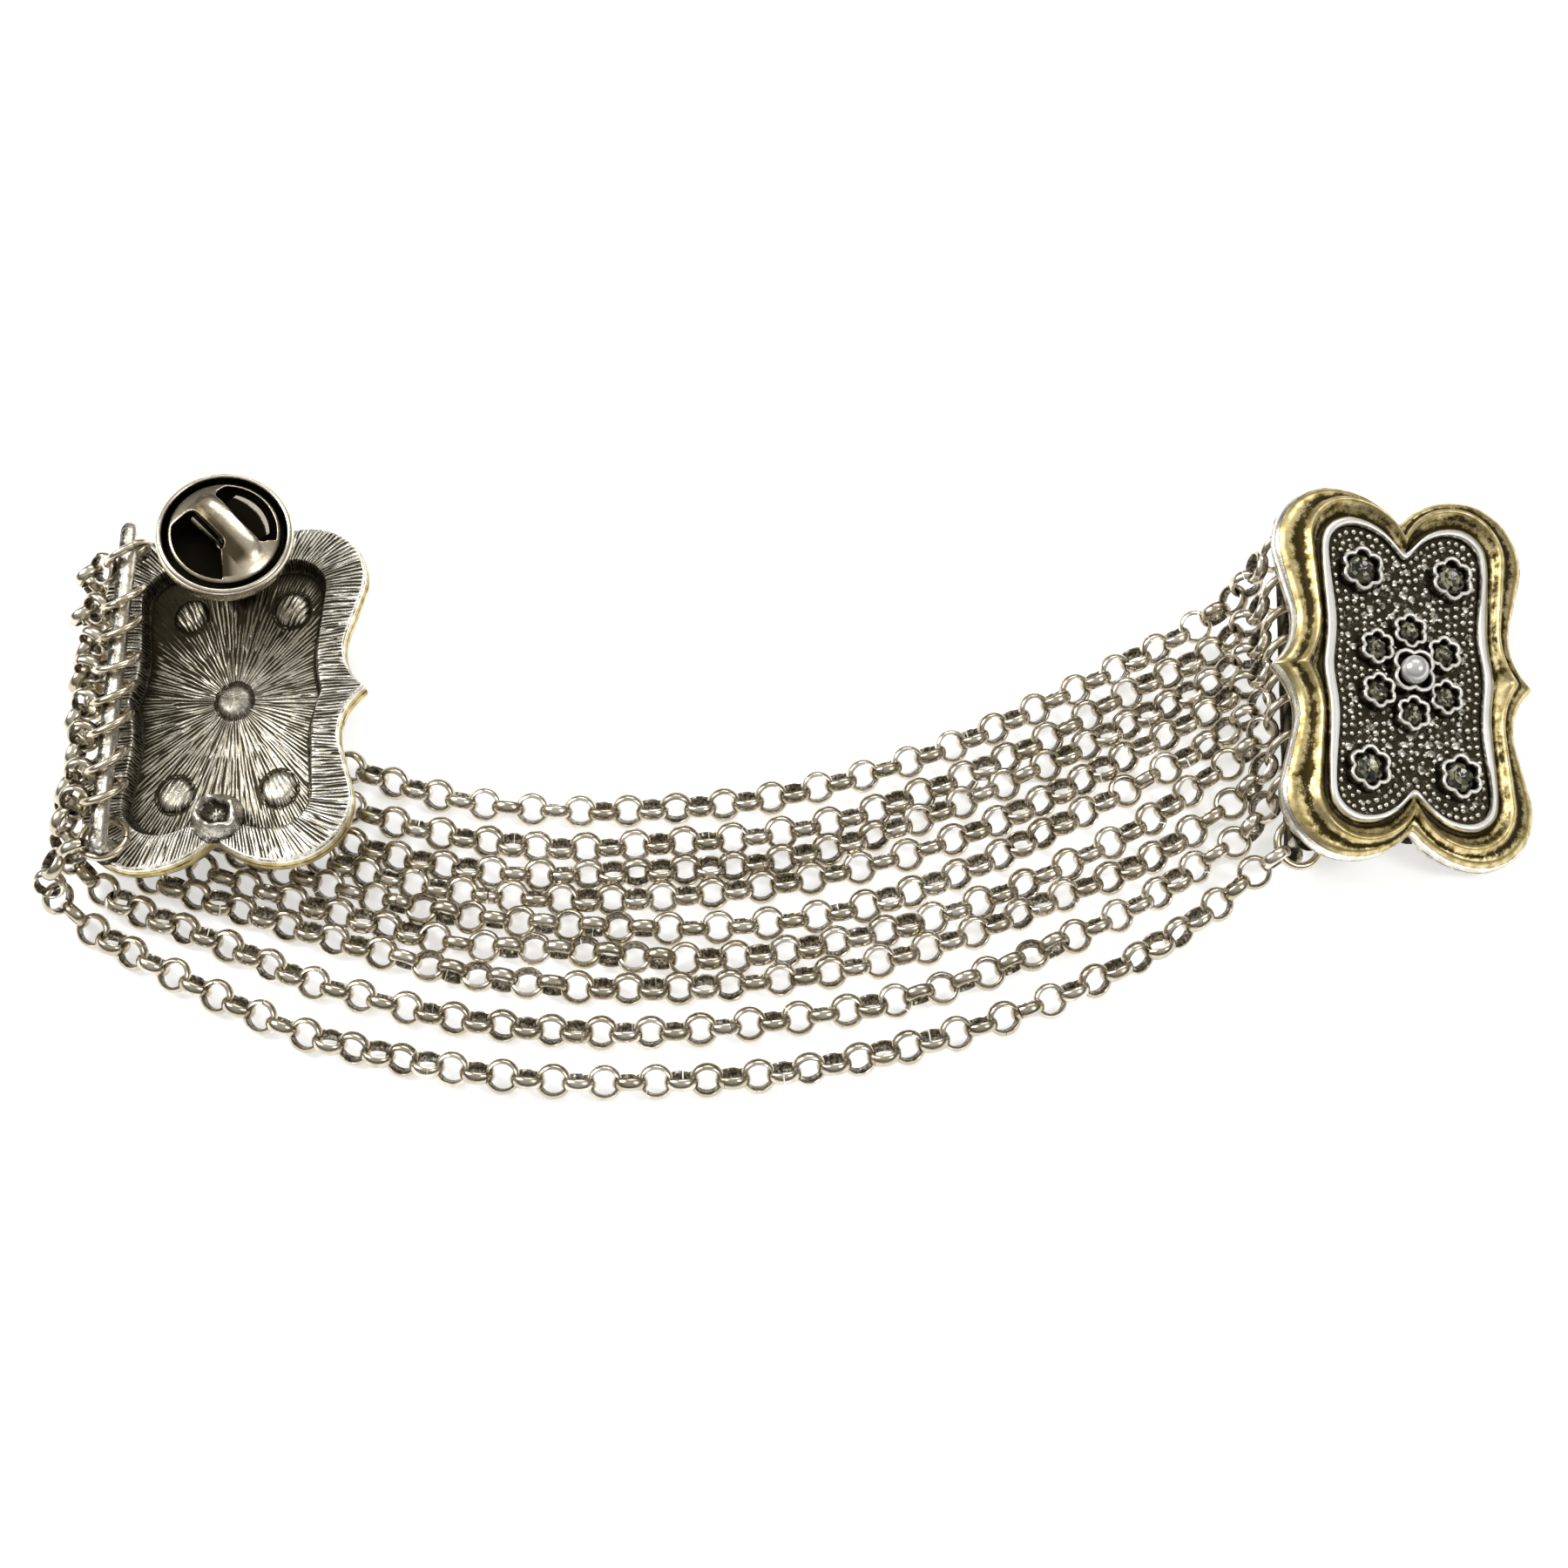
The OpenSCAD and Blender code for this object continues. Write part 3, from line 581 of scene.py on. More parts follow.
def softened(line, spread):
    """A closed line with its corners rounded over some points."""
    steps = np.arange(-3 * spread, 3 * spread + 1)
    weights = np.exp(-0.5 * (steps / spread) ** 2)
    return sum(w * np.roll(line, k, 0) for w, k in zip(weights / weights.sum(), steps))


def contour(place_in_section):
    """The closed contour at a place between two rows of SECTION, clockwise from the top notch."""
    low = min(int(place_in_section), len(SECTION) - 2)
    share = place_in_section - low
    down = quarter(SECTION[low] * (1 - share) + SECTION[low + 1] * share)
    up = down[1:][::-1] * (1, -1)
    right = np.concatenate([down, up[1:]])
    whole = np.concatenate([right, down[:1] * (1, -1), right[1:][::-1] * (-1, 1)])
    return softened(whole, RIM_SPREAD if place_in_section > RIM_FOOT else CORNER_SPREAD)


def streaks(lines, seed):
    """Noise round the contour, one value a column from -1 to 1, about that many lines round."""
    knots = default_rng(seed).uniform(-1, 1, lines)
    x = np.linspace(0, lines, COLUMNS, endpoint=False)
    i = x.astype(int)
    t = smoothstep(0, 1, x - i)
    return knots[i] * (1 - t) + knots[(i + 1) % lines] * t


# Plate body. Away is the side of a plate's middle that lies off the bar, in the front frame.

def recess_middle(away):
    return np.array([away * BOSS_X, 0.0])


def scored(flat, middle):
    """Where a point of the recess lies among the lines that run out from the middle."""
    off = flat - middle
    run = np.maximum(np.linalg.norm(off, axis=-1), 1e-6)
    return {"turn_x": off[:, 0] / run, "turn_y": off[:, 1] / run, "run": run, "lined": np.ones(len(run))}


def patina_and_painted_shade_of_back(flat, away):
    """Patina, with painted shade from the clutch and the bar: darker towards the top and under the bar."""
    below_bar = -away * flat[..., 0]
    top = 0.55 * smoothstep(2.5, 9.5, flat[..., 1]) * (flat[..., 1] < 12.7)
    corner = 0.32 * smoothstep(0, 8, below_bar + flat[..., 1])
    return top + corner + 0.36 * smoothstep(0.5, 6.5, below_bar)


def recess_rows(away, wave):
    """The recess floor, from its middle outwards, as rows of points with their values."""
    middle, rim = recess_middle(away), contour(0.0)
    for f in np.linspace(0.01, 1, RECESS_ROWS, endpoint=False):
        flat = middle + (rim - middle) * f
        z = RECESS_Z - 0.014 * wave * smoothstep(0.0, 0.3, f)
        # Dark is patina, with painted shade near the recess wall and from the clutch and the bar.
        dark = 0.36 + 0.5 * smoothstep(0.84, 1.0, f) - 0.06 * wave + patina_and_painted_shade_of_back(flat, away)
        yield at_height(flat, z), {"dark": dark, "gold": 0, "frost": 0, **scored(flat, middle)}


def edge_rows(away, seam, wave):
    """Recess wall, back, moulding and rim, with a dark seam where the gold tone starts."""
    rub = streaks(60, 13)
    outline = contour(1.5)
    run = run_along(outline)
    turned = polar(1.0, 2 * pi * run / (run[-1] + np.linalg.norm(outline[0] - outline[-1])))
    places, heights, darks = np.array(EDGE).T
    for at in sorted({*places, seam - 0.1, seam - 0.05, seam, seam + 0.04}):
        flat = contour(at)
        z, dark = np.interp(at, places, heights), np.interp(at, places, darks)
        if abs(at - seam - 0.005) < 0.03:
            z, dark = z + 0.02, 1.0
        on_back = float(BACK_START < at < BACK_END)
        # On the back: patina, plus painted shade on the side of the bar.
        dark = dark + on_back * (0.22 * smoothstep(5.5, 8.0, -away * flat[:, 0]) + 0.22 + 0.1 * wave)
        yield at_height(flat, z + 0.012 * rub * float(at > 2)), {
            "dark": dark + 0.1 * rub * (at < WORN_END), "gold": float(seam < at < GOLD_END),
            "frost": 0.8 * smoothstep(9.8, 10.0, at) * (1 - smoothstep(11.2, 11.6, at)),
            "turn_x": turned[:, 0], "turn_y": turned[:, 1], "run": EDGE_RUN + at * EDGE_RUN_STEP,
            "lined": float(at < BACK_END),
        }


def field_rows():
    """The sunk field, from its edge to its middle."""
    for f in (0.8, 0.5, 0.02):
        yield at_height(contour(FIELD_EDGE) * f, FIELD_Z), {
            "dark": 1.0, "gold": 0, "frost": 0, "turn_x": 0, "turn_y": 0, "run": 0, "lined": 0,
        }


def plate_skin(away, seam):
    """The casting's body in the front frame."""
    wave = streaks(150, 1)
    rows = [*recess_rows(away, wave), *edge_rows(away, seam, wave), *field_rows()]
    values = {key: np.stack([np.broadcast_to(np.asarray(mark[key], float), COLUMNS) for _, mark in rows])
              for key in rows[0][1]}
    return skin(np.stack([points for points, _ in rows]), **values)


# Section of a boss: radius, height over the recess floor and dark. Its lines are fainter.
BOSS = np.array([
    (0.02, -0.56, -0.1), (0.35, -0.58, -0.2), (0.7, -0.56, -0.2), (0.98, -0.51, -0.2),
    (1.18, -0.42, -0.1), (1.34, -0.27, 0.2), (1.46, -0.1, 0.8), (1.56, 0.0, 1.3),
    (1.66, -0.02, 1.3), (1.8, -0.01, 0.7), (1.92, 0.06, 0.4),
])
BOSS_STEPS, BOSS_LINED = 48, 0.75


def boss(at, away, seed):
    """A low round mound on the recess floor with a dark ditch round it, and painted shade on one side."""
    points, faces, values = lathe(BOSS + (0, RECESS_Z, 0), BOSS_STEPS)
    points[:, 2] += default_rng(seed).normal(0, 0.012, len(points))
    # Painted shade on one side of the boss, as if lit from the other.
    painted_side_shade = smoothstep(0.3, 1.5, 0.7 * (points[:, 1] - away * points[:, 0]))
    points[:, :2] = points[:, :2] * (1, 1.12) + at
    flat = points[:, :2]
    dark = values["dark"] + 0.05 + 0.7 * patina_and_painted_shade_of_back(flat, away) + 0.6 * painted_side_shade
    marks = {**scored(flat, recess_middle(away)), "dark": dark, "lined": np.full(len(flat), BOSS_LINED)}
    return points, faces, marks


def bosses(away):
    places = [(0, 0)] + [(i * BOSS_STEP[0], j * BOSS_STEP[1]) for i in (-1, 1) for j in (-1, 1)]
    return [boss(recess_middle(away) + q, away, 33 + k) for k, q in enumerate(places)]


# Field

def scallop(form, angle):
    """Radius of a petalled collar's outline at an angle."""
    petals, reach, body = form[:3]
    off = np.mod(angle, 2 * pi / petals) - pi / petals
    return body + (reach - body) * np.abs(np.cos(off * petals / 2)) ** 0.8


def collar(form, at, seed):
    """A wall that follows the petals, with a rounded, worn top."""
    count, top = 14 * form[0], form[3]
    a = circle(count)
    line = polar(scallop(form, a) + default_rng(seed).normal(0, 0.012, count), a)
    inward = leftward(line)
    section = [
        (-0.03, FIELD_Z - 0.05, 1.0), (-0.01, FIELD_Z + 0.35, 1.0), (0.0, top - 0.22, 0.7),
        (0.03, top - 0.08, -0.1), (0.1, top - 0.01, -0.4), (0.19, top, -0.4), (0.28, top - 0.02, -0.4),
        (0.34, top - 0.1, 0.0), (COLLAR_WALL, top - 0.25, 0.7), (COLLAR_WALL + 0.02, FIELD_Z - 0.05, 1.0),
    ]
    rows = [at_height(line + inward * inset + at, z) for inset, z, _ in section]
    dark = np.array(section)[:, 2:]
    return skin(np.stack(rows), caps=False, dark=dark, frost=np.clip(-2 * dark, 0, 0.7))


def outside_collars(q, room):
    """Whether a point of the field lies clear of every collar by that room."""
    for x, y, form in COLLARS:
        dx, dy = q[0] - x, q[1] - y
        if hypot(dx, dy) < scallop(form, atan2(dy, dx)) + room:
            return False
    return True


def inside(edge, q):
    """Whether a point lies within a closed line, by its crossings to the right."""
    a, b = edge, np.roll(edge, -1, 0)
    spans = (a[:, 1] > q[1]) != (b[:, 1] > q[1])
    safe = np.where(spans, b[:, 1] - a[:, 1], 1)
    x = a[:, 0] + (q[1] - a[:, 1]) / safe * (b[:, 0] - a[:, 0])
    return bool((spans & (x > q[0])).sum() % 2)


def bead_places(edge, draw):
    """Rows of beads that follow the rim, apart from the collars, with bare patches between."""
    inward = -leftward(edge)
    beads = np.empty((0, 2))
    for row in range(13):
        depth = 0.45 + 0.7 * row
        for q in np.roll(edge + inward * depth, -5 * row, axis=0):
            bare = sin(1.7 * q[0] + 0.8) * sin(1.25 * q[1] + 0.4)
            bare += 0.4 * sin(2.9 * q[0] * q[1])
            apart = 0.66 + 0.07 * sin(5 * q[0] + 3 * q[1])
            if bare > (0.72 if row == 0 else 0.38) or nearest(edge, q) < depth - 0.03:
                continue
            if outside_collars(q, 0.27) and nearest(beads, q) >= apart:
                beads = np.vstack([beads, q + draw.normal(0, 0.03, 2)])
    return beads


def pebble_places(edge, beads, draw):
    """Flat pebbles where the rows of beads leave room."""
    pebbles = np.empty((0, 2))
    for q in draw.uniform((-7, -13), (7, 13), (9000, 2)):
        if nearest(edge, q) < 0.5 or nearest(beads, q) < 0.52 or nearest(pebbles, q) < 0.8:
            continue
        if outside_collars(q, 0.3) and inside(edge, q):
            pebbles = np.vstack([pebbles, q])
    return pebbles


# Section of a bead, in radii, and its dark.
BEAD = [(1.0, -0.1, 1.0), (1.02, 0.3, 0.4), (0.88, 0.8, -0.3), (0.55, 1.18, -0.6), (0.12, 1.35, -0.6)]


def bead(at, radius):
    return shifted(lathe(np.array(BEAD) * (radius, radius, 1), 10), (*at, FIELD_Z))


def pebble(at, draw):
    """A low flat patch with an uneven edge."""
    r = draw.uniform(0.28, 0.46) * draw.uniform(0.75, 1.2, 9)
    rows = [at_height(polar(r * share, circle(9)) + at, FIELD_Z + h)
            for share, h in ((1.15, -0.02), (1.0, 0.06), (0.75, 0.11), (0.1, 0.12))]
    return skin(np.stack(rows), dark=np.array([1.1, 0.8, 0.52, 0.52])[:, None])


def field_places():
    edge, draw = contour(FIELD_EDGE), default_rng(21)
    beads = bead_places(edge, draw)
    return beads, pebble_places(edge, beads, draw)


BEADS, PEBBLES = field_places()


# Bar and posts behind a plate. Sections are (radius, height, dark).

BAR_STEPS = 28
BAR_FOOT = [
    (1.25, 0.1, 0.9), (0.95, -0.25, 0.7), (0.74, -0.7, 0.4), (0.66, -1.4, 0.3), (0.66, 0.35 - BAR_Z, 0.4),
]
POST_FOOT = [
    (2.15, 0.1, 0.9), (1.95, -0.35, 0.6), (1.55, -0.8, 0.4), (1.15, -1.3, 0.3), (1.02, -1.5, 0.4),
    (0.5, -1.55, 0.8),
]
PIN = [(r, z, 0.1) for r, z in (
    (0.5, -1.4), (0.5, -4.6), (0.42, -4.75), (0.5, -4.95), (0.5, -5.3), (0.3, -5.7), (0.08, -POST_Z),
)]
STUB = [
    (2.3, 0.1, 0.9), (2.1, -0.3, 0.6), (1.9, -0.75, 0.4), (1.72, -1.1, 0.2), (1.55, -1.3, 0.0),
    (1.38, -1.32, -0.1), (1.22, -1.15, 0.5), (1.02, -0.85, 1), (0.75, -0.62, 1), (0.25, -0.55, 0.6),
]


def bar_stations(end, draw):
    """Places along the bar with its radius there, up to the rounded end."""
    return [
        (-BAR_HALF, 0.42), (-BAR_HALF + 0.25, 0.7), (-BAR_HALF + 0.7, BAR_R + 0.05),
        *((y, BAR_R + draw.normal(0, 0.015)) for y in np.linspace(-BAR_HALF + 2.2, end - 2.2, 34)),
        (end - 1.2, BAR_R + 0.04), (end - 0.7, BAR_R + 0.03), (end - 0.4, 0.68), (end - 0.18, 0.54),
        (end - 0.05, 0.34), (end, 0.1),
    ]


def chain_bar(away, end):
    """The bar with its two feet, on the side opposite to away."""
    draw = default_rng(31)
    a = circle(BAR_STEPS)
    # Patina with painted shade: darker on the bar's outer side and on the side that faces the plate.
    shade = 0.3 + 0.6 * smoothstep(-0.4, 0.7, -away * np.cos(a)) + 0.3 * smoothstep(0, 1, np.sin(a))
    rows = []
    for y, r in bar_stations(end, draw):
        r = r + draw.normal(0, 0.008, BAR_STEPS)
        rows.append(across(r * np.cos(a) - away * BAR_X, y, r * np.sin(a) - BAR_Z))
    feet = [shifted(lathe(BAR_FOOT, 24), (-away * BAR_X, y, 0)) for y in (-FOOT_Y, end - 1)]
    return [skin(np.stack(rows), dark=shade), *feet]


def crumpled(shell, seed):
    """Bends the rim of a turned form out of round and out of level."""
    points, faces, values = shell
    start = default_rng(seed).uniform(0, 2 * pi, 4)
    a = np.arctan2(points[:, 1], points[:, 0])
    share = smoothstep(0.4, 1.2, -points[:, 2])
    swell = 0.1 * np.sin(2 * a + start[0]) + 0.06 * np.sin(5 * a + start[1])
    points[:, :2] *= 1 + (share * swell)[:, None]
    points[:, 2] += share * (0.16 * np.sin(3 * a + start[2]) + 0.08 * np.sin(7 * a + start[3]))
    return points, faces, values


def posts(away):
    """The post with its foot, and the hollow stub left open at the other end."""
    at = (away * POST_X, POST_Y, 0)
    return [
        shifted(rough_lathe(POST_FOOT, 32, 41, 0.015), at),
        shifted(lathe(PIN, 20), at),
        shifted(crumpled(rough_lathe(STUB, 36, 43, 0.03), 44), (away * POST_X, -POST_Y, 0)),
    ]


def casting(side, away, bar_end, seam, matrix):
    """One plate in its front frame: its body with bosses, bar and posts, and the work on its field."""
    body = [plate_skin(away, seam), *bosses(away), *chain_bar(away, bar_end), *posts(away)]
    piece(f"{side}_casting", body, CAST, [f"{side}_plate"], matrix)
    work = [collar(form, (x, y), 50 + k) for k, (x, y, form) in enumerate(COLLARS)]
    draw = default_rng(61)
    work += [bead(q, draw.normal(0.24, 0.02)) for q in BEADS]
    work += [pebble(q, draw) for q in PEBBLES]
    piece(f"{side}_field_work", work, CAST, [f"{side}_plate"], matrix)


casting("left", -1, LEFT_BAR_END, LEFT_SEAM, LEFT_FRONT)
casting("right", 1, RIGHT_BAR_END, RIGHT_SEAM, RIGHT)


# Stones and pearls

# Rows of a stone, from its seat up: radius in girdles, height, and the swing of both from corner
# to corner.
STONE_SIDES = 16
STONE_ROWS = [
    (0.45, 0.0, 0, 0), (1.0, 0.42, 0, 0), (1.0, 0.5, 0, 0), (0.82, 0.68, 0.05, 0.02),
    (0.6, 0.83, 0.04, 0.01), (0.54, 0.82, 0, 0), (0.3, 0.74, 0.06, 0.025), (0.04, 0.7, 0, 0),
]


def rhinestone(x, y, form):
    """A cut stone with a girdle, crown facets and a table that shows its pavilion."""
    girdle = form[2] - COLLAR_WALL + 0.02
    a = circle(STONE_SIDES)
    even = np.where(np.arange(STONE_SIDES) % 2, 1.0, -1.0)
    return skin(np.stack([
        at_height(polar(girdle * (r + swing * even), a) + (x, y), FIELD_Z + STONE_SEAT + z + lift * even)
        for r, z, swing, lift in STONE_ROWS
    ]))


def painted_facet_glints(seed):
    """Painted reflections: dark sides, and a table painted in light and dark wedges as if showing the
    pavilion.
    """
    draw = default_rng(seed)
    bands = [draw.uniform(0, top, STONE_SIDES) for top in (0.2, 0.2, 0.7, 0.9, 0.3, 1.15, 1.15)]
    wedges = [np.repeat(band[::2], 2) for band in bands[5:]]
    return np.concatenate([*bands[:5], *wedges, [0.1, 0.9]])


def pearl():
    """A pearl that is a little out of round."""
    lat = np.linspace(-pi / 2 + 0.04, pi / 2 - 0.04, 32)
    v, u = np.meshgrid(lat, circle(48), indexing="ij")
    r = PEARL_R * (1 - 0.006 * np.cos(2 * u + 0.5) * np.cos(v) - 0.005 * np.sin(3 * v + u))
    rows = across(r * np.cos(v) * np.cos(u), r * np.cos(v) * np.sin(u), r * np.sin(v))
    return shifted(skin(rows), (0, 0, FIELD_Z + PEARL_SEAT + PEARL_R))


def numbered(stem, items):
    return [f"{stem}_{k + 1}" for k in range(len(items))]


for side, matrix in (("left", LEFT_FRONT), ("right", RIGHT)):
    piece(f"{side}_rhinestones", [rhinestone(*stone) for stone in STONES], STONE,
          numbered(f"{side}_stone", STONES), matrix, sharp=1,
          tones=np.concatenate([painted_facet_glints(71 + k) for k in range(len(STONES))]))
    piece(f"{side}_bead_pearl", [pearl()], PEARL, [f"{side}_pearl"], matrix)


# Rings

def ring_frame(side, ring):
    """Place of a jump ring in the part's frame. The ring lies about local y."""
    s, lean, yaw, off, height = ring
    matrix, sign = (LEFT, 1) if side == "left" else (RIGHT, -1)
    rotation = Matrix.Rotation(radians(yaw), 4, "Z") @ Matrix.Rotation(radians(lean), 4, "X")
    return matrix @ Matrix.Translation(Vector((-BAR_X - off, s, sign * height)) * MM) @ rotation


def bent_wire(seed, cut):
    """An open ring of round wire about local y, its ends butted at the angle cut."""
    draw = default_rng(seed)
    gap = 0.035 / RING_R
    a = np.linspace(cut + gap, cut + 2 * pi - gap, 64)
    b = circle(14)
    reach = RING_R + 0.02 * np.cos(2 * a + draw.uniform(0, 6))
    skew = np.linspace(-0.05, 0.05, len(a))
    r = reach[:, None] + WIRE_R * np.cos(b)[None]
    rows = across(r * np.cos(a)[:, None], WIRE_R * np.sin(b) + skew[:, None], r * np.sin(a)[:, None])
    return skin(rows, dark=0.1 + 0.35 * smoothstep(0.2, 1, -np.cos(b)), tone=draw.uniform(0.1, 0.5))


for side, rings in (("left", LEFT_RINGS), ("right", RIGHT_RINGS)):
    shells = [carried(ring_frame(side, ring), bent_wire(80 + k, radians(70 + 37 * k)))
              for k, ring in enumerate(rings)]
    piece(f"{side}_jump_rings", shells, RING, numbered(f"{side}_ring", rings))


# Chains

def smooth_line(points):
    """A dense smooth line through the points."""
    p = np.array(points, float)
    s = run_along(p)
    m = np.gradient(p, s, axis=0)
    t = np.linspace(0, 1, 40, endpoint=False)[:, None]
    out = []
    for i in range(len(p) - 1):
        h = s[i + 1] - s[i]
        out.append((2 * t ** 3 - 3 * t ** 2 + 1) * p[i] + (t ** 3 - 2 * t ** 2 + t) * h * m[i]
                   + (3 * t ** 2 - 2 * t ** 3) * p[i + 1] + (t ** 3 - t ** 2) * h * m[i + 1])
    return np.concatenate(out + [p[-1:]])


def hook(side, ring, toward):
    """Place and axis of the end link that hangs in a ring, pulled towards a point."""
    m = np.array(ring_frame(side, ring))
    middle, normal = m[:3, 3] / MM, m[:3, 1]
    pull = toward - middle
    pull = unit(pull - pull.dot(normal) * normal)
    return middle + HOOK_REACH * pull, np.cross(normal, pull)


def left_turn(k, is_last):
    """A chain's start on its left ring, and its way over the plate's edge to the table."""
    b0, b1, b2 = BIGHTS[k]
    start, axis = hook("left", LEFT_RINGS[k], moved(LEFT, [-12, b2, 1.1 if is_last else 1.7]))
    over = moved(LEFT, [
        [b1 + 0.1, (b0 + b2) / 2, 0.2 if is_last else 0.6],
        [b1, b0, -0.9],
        [b1 + 0.1, b0 - 0.2, -2.6],
        [b1 + 0.9, b0 - 0.7, -4.1],
    ])
    landing = [moved(LEFT, [b1 + 2.4, 0, 0])[0], LEFT_AT[1] + b0 - 1.5 + BOX_SHIFT[1], CHAIN_H + 0.15]
    return [start, *over, landing], axis


def right_pull(k, is_last):
    """Where a chain's line leaves its right ring."""
    s, lean, yaw, off, height = RIGHT_RINGS[k]
    a = radians(LAST_PULL_A if is_last else PULL_A)
    pull = Vector((-cos(a), 0, 0 if is_last else -sin(a)))
    pull = Matrix.Rotation(radians(LAST_PULL_TURN if is_last else yaw), 3, "Z") @ (
        Matrix.Rotation(radians(lean), 3, "X") @ pull)
    return moved(RIGHT, np.array([-BAR_X - off, s, -height]) + CHAIN_REACH * np.array(pull))


def route(k):
    """The chain's line in the part's frame, with the axes of its two end links."""
    is_last = k == len(BIGHTS) - 1
    first, start_axis = left_turn(k, is_last)
    far = right_pull(k, is_last)
    end, end_axis = hook("right", RIGHT_RINGS[k], far)
    table = [[x + BOX_SHIFT[0], y + BOX_SHIFT[1], CHAIN_H + 0.045 + rise * (far[2] - CHAIN_H)]
             for x, y, rise in zip(STATION_X, STATION_Y[k], STATION_RISE)]
    return smooth_line([*first, *table, end]), start_axis, end_axis


def link_section():
    """Section of the band as (radius, width): flat inside, half round outside."""
    inner, half = LINK_R - LINK_T, LINK_W / 2
    crown = [(inner + 0.1 + (LINK_T - 0.1) * cos(a), half * sin(a))
             for a in np.radians([64, 38, 13, -13, -38, -64])]
    return np.array([(inner, -half + 0.09), (inner, half - 0.09), (inner + 0.07, half), *crown,
                     (inner + 0.07, -half)])


LINK_SECTION = link_section()
LINK_DARK = np.array([0.78, 0.78, 0.45, 0.18, 0.05, 0.0, 0.0, 0.05, 0.18, 0.45])


def link_reach(axis):
    """How far a link reaches below its middle."""
    r, w = LINK_SECTION.T
    return (r * sqrt(1 - axis[2] ** 2) + np.abs(w * axis[2])).max()


def link(middle, along, axis, seed):
    """One band link: a strip bent to a ring, its seam at some angle."""
    draw = default_rng(seed)
    side = np.cross(axis, along)
    gap = draw.choice([0.012, 0.02, 0.045])
    cut = draw.uniform(0, 2 * pi)
    a = np.linspace(cut + gap, cut + 2 * pi - gap, LINK_STEPS)
    r, w = LINK_SECTION[:, 0][None, :, None], LINK_SECTION[:, 1][None, :, None]
    ring = np.cos(a)[:, None, None] * along + np.sin(a)[:, None, None] * side
    return skin(middle + r * ring + w * axis, dark=LINK_DARK, tone=draw.uniform(0, 0.6))


def wrapped(angle, period):
    return (angle + period / 2) % period - period / 2


def link_places(k):
    """Middles of a chain's links, their frames, and how the end links stand off the even turn.

    Of two counts it takes the one whose last link hangs better in its ring.
    """
    line, start_axis, end_axis = route(k)
    steps = run_along(line)
    choices = []
    for spare in (1, 2):
        count = round(steps[-1] / PITCH) + spare
        where = np.linspace(0, steps[-1], count)
        middles = across(*(np.interp(where, steps, line[:, i]) for i in range(3)))
        along = unit(np.gradient(middles, axis=0))
        side = unit(np.array([0, 1, 0]) - along[:, 1:2] * along)
        up = np.cross(along, side)
        first = degrees(atan2(start_axis @ side[0], start_axis @ up[0]))
        last = degrees(atan2(end_axis @ side[-1], end_axis @ up[-1]))
        odd = int(abs(wrapped(first - 45, 180)) > 45)
        from_first = wrapped(first - 45 - 90 * odd, 180)
        to_last = wrapped(last - 45 - 90 * ((odd + count - 1) % 2), 180)
        choices.append((middles, along, side, up, odd, from_first, to_last))
    return min(choices, key=lambda choice: abs(choice[-1]))


def lean_of_links(k, x):
    """How far the even turn of a chain's links leans over at x, in degrees."""
    lean = 9 * sin(x / 5.3 + 2.1 * k) + (12 * sin(x / 3.1 + k) if x > 18 else 0)
    for which, low, high, roll in ROLLED:
        if which == k:
            lean += roll * smoothstep(low - 4, low, x) * (1 - smoothstep(high, high + 4, x))
    return lean


def chain(k):
    """Band links along the chain's route, each turned a quarter against the last."""
    middles, along, side, up, odd, from_first, to_last = link_places(k)
    draw = default_rng(100 + k)
    last = len(middles) - 1
    shells = []
    for i, middle in enumerate(middles):
        ends = from_first * (1 - smoothstep(0, 6, i)) + to_last * (1 - smoothstep(0, 7, last - i))
        even = 45 + 90 * ((i + odd) % 2) + draw.normal(0, 5)
        a = radians(even + ends + lean_of_links(k, middle[0] - BOX_SHIFT[0]))
        axis = unit(cos(a) * up[i] + sin(a) * side[i])
        lift = max(0, 0.02 + link_reach(axis) - middle[2])
        shells.append(link(middle + (0, 0, lift), along[i], axis, 1000 * k + i))
    piece(f"belcher_chain_{k + 1}", shells, CHAIN, [f"chain_{k + 1}"])


for k in range(len(BIGHTS)):
    chain(k)


# Clutch cup. Heights are over the middle of the clutch's bore.

CUP_STEPS = 128
# Inside the cup, a dark of 1.5 is painted shadow, seen through the spring's windows.
CUP = [
    (0.8, -1.0, 0.3), (1.6, -1.0, 0.2), (1.7, -0.9, 0.2), (1.7, 0.3, 0.5), (1.8, 0.4, 0.7),
    (4.6, 0.4, 0.5), (5.1, 0.5, 0.35), (5.45, 0.8, 0.55), (5.62, 1.2, 0.5), (5.72, 1.6, 0.45),
    (5.75, 2.0, 0.45), (5.74, 2.25, 0.5), (5.68, 2.45, 0.35), (5.58, 2.6, 0.05), (5.46, 2.69, 0.0),
    (5.36, 2.7, 0.1), (5.27, 2.66, 0.6), (5.18, 2.55, 1.3), (5.1, 2.35, 1.5), (5.09, 1.9, 1.5),
    (5.07, 1.3, 1.5), (4.9, 1.05, 1.5), (4.5, 1.0, 1.5), (2.4, 1.0, 1.5), (0.8, 1.0, 1.5), (0.8, 0.9, 1.5),
]


def clutch_cup():
    """The pressed cup with its rolled rim and barrel, its last ring joined to its first by the bore."""
    points, faces, values = lathe(CUP, CUP_STEPS, caps=False)
    last = len(points) - CUP_STEPS
    for i in range(CUP_STEPS):
        j = (i + 1) % CUP_STEPS
        faces.append([last + i, last + j, j, i])
    return points, faces, values


# Clutch spring. Its windows lie on both sides of its ridge, which runs at this angle and stands
# off the middle. In the spring's own plane the ridge runs along x. Heights are over the cup's rim.

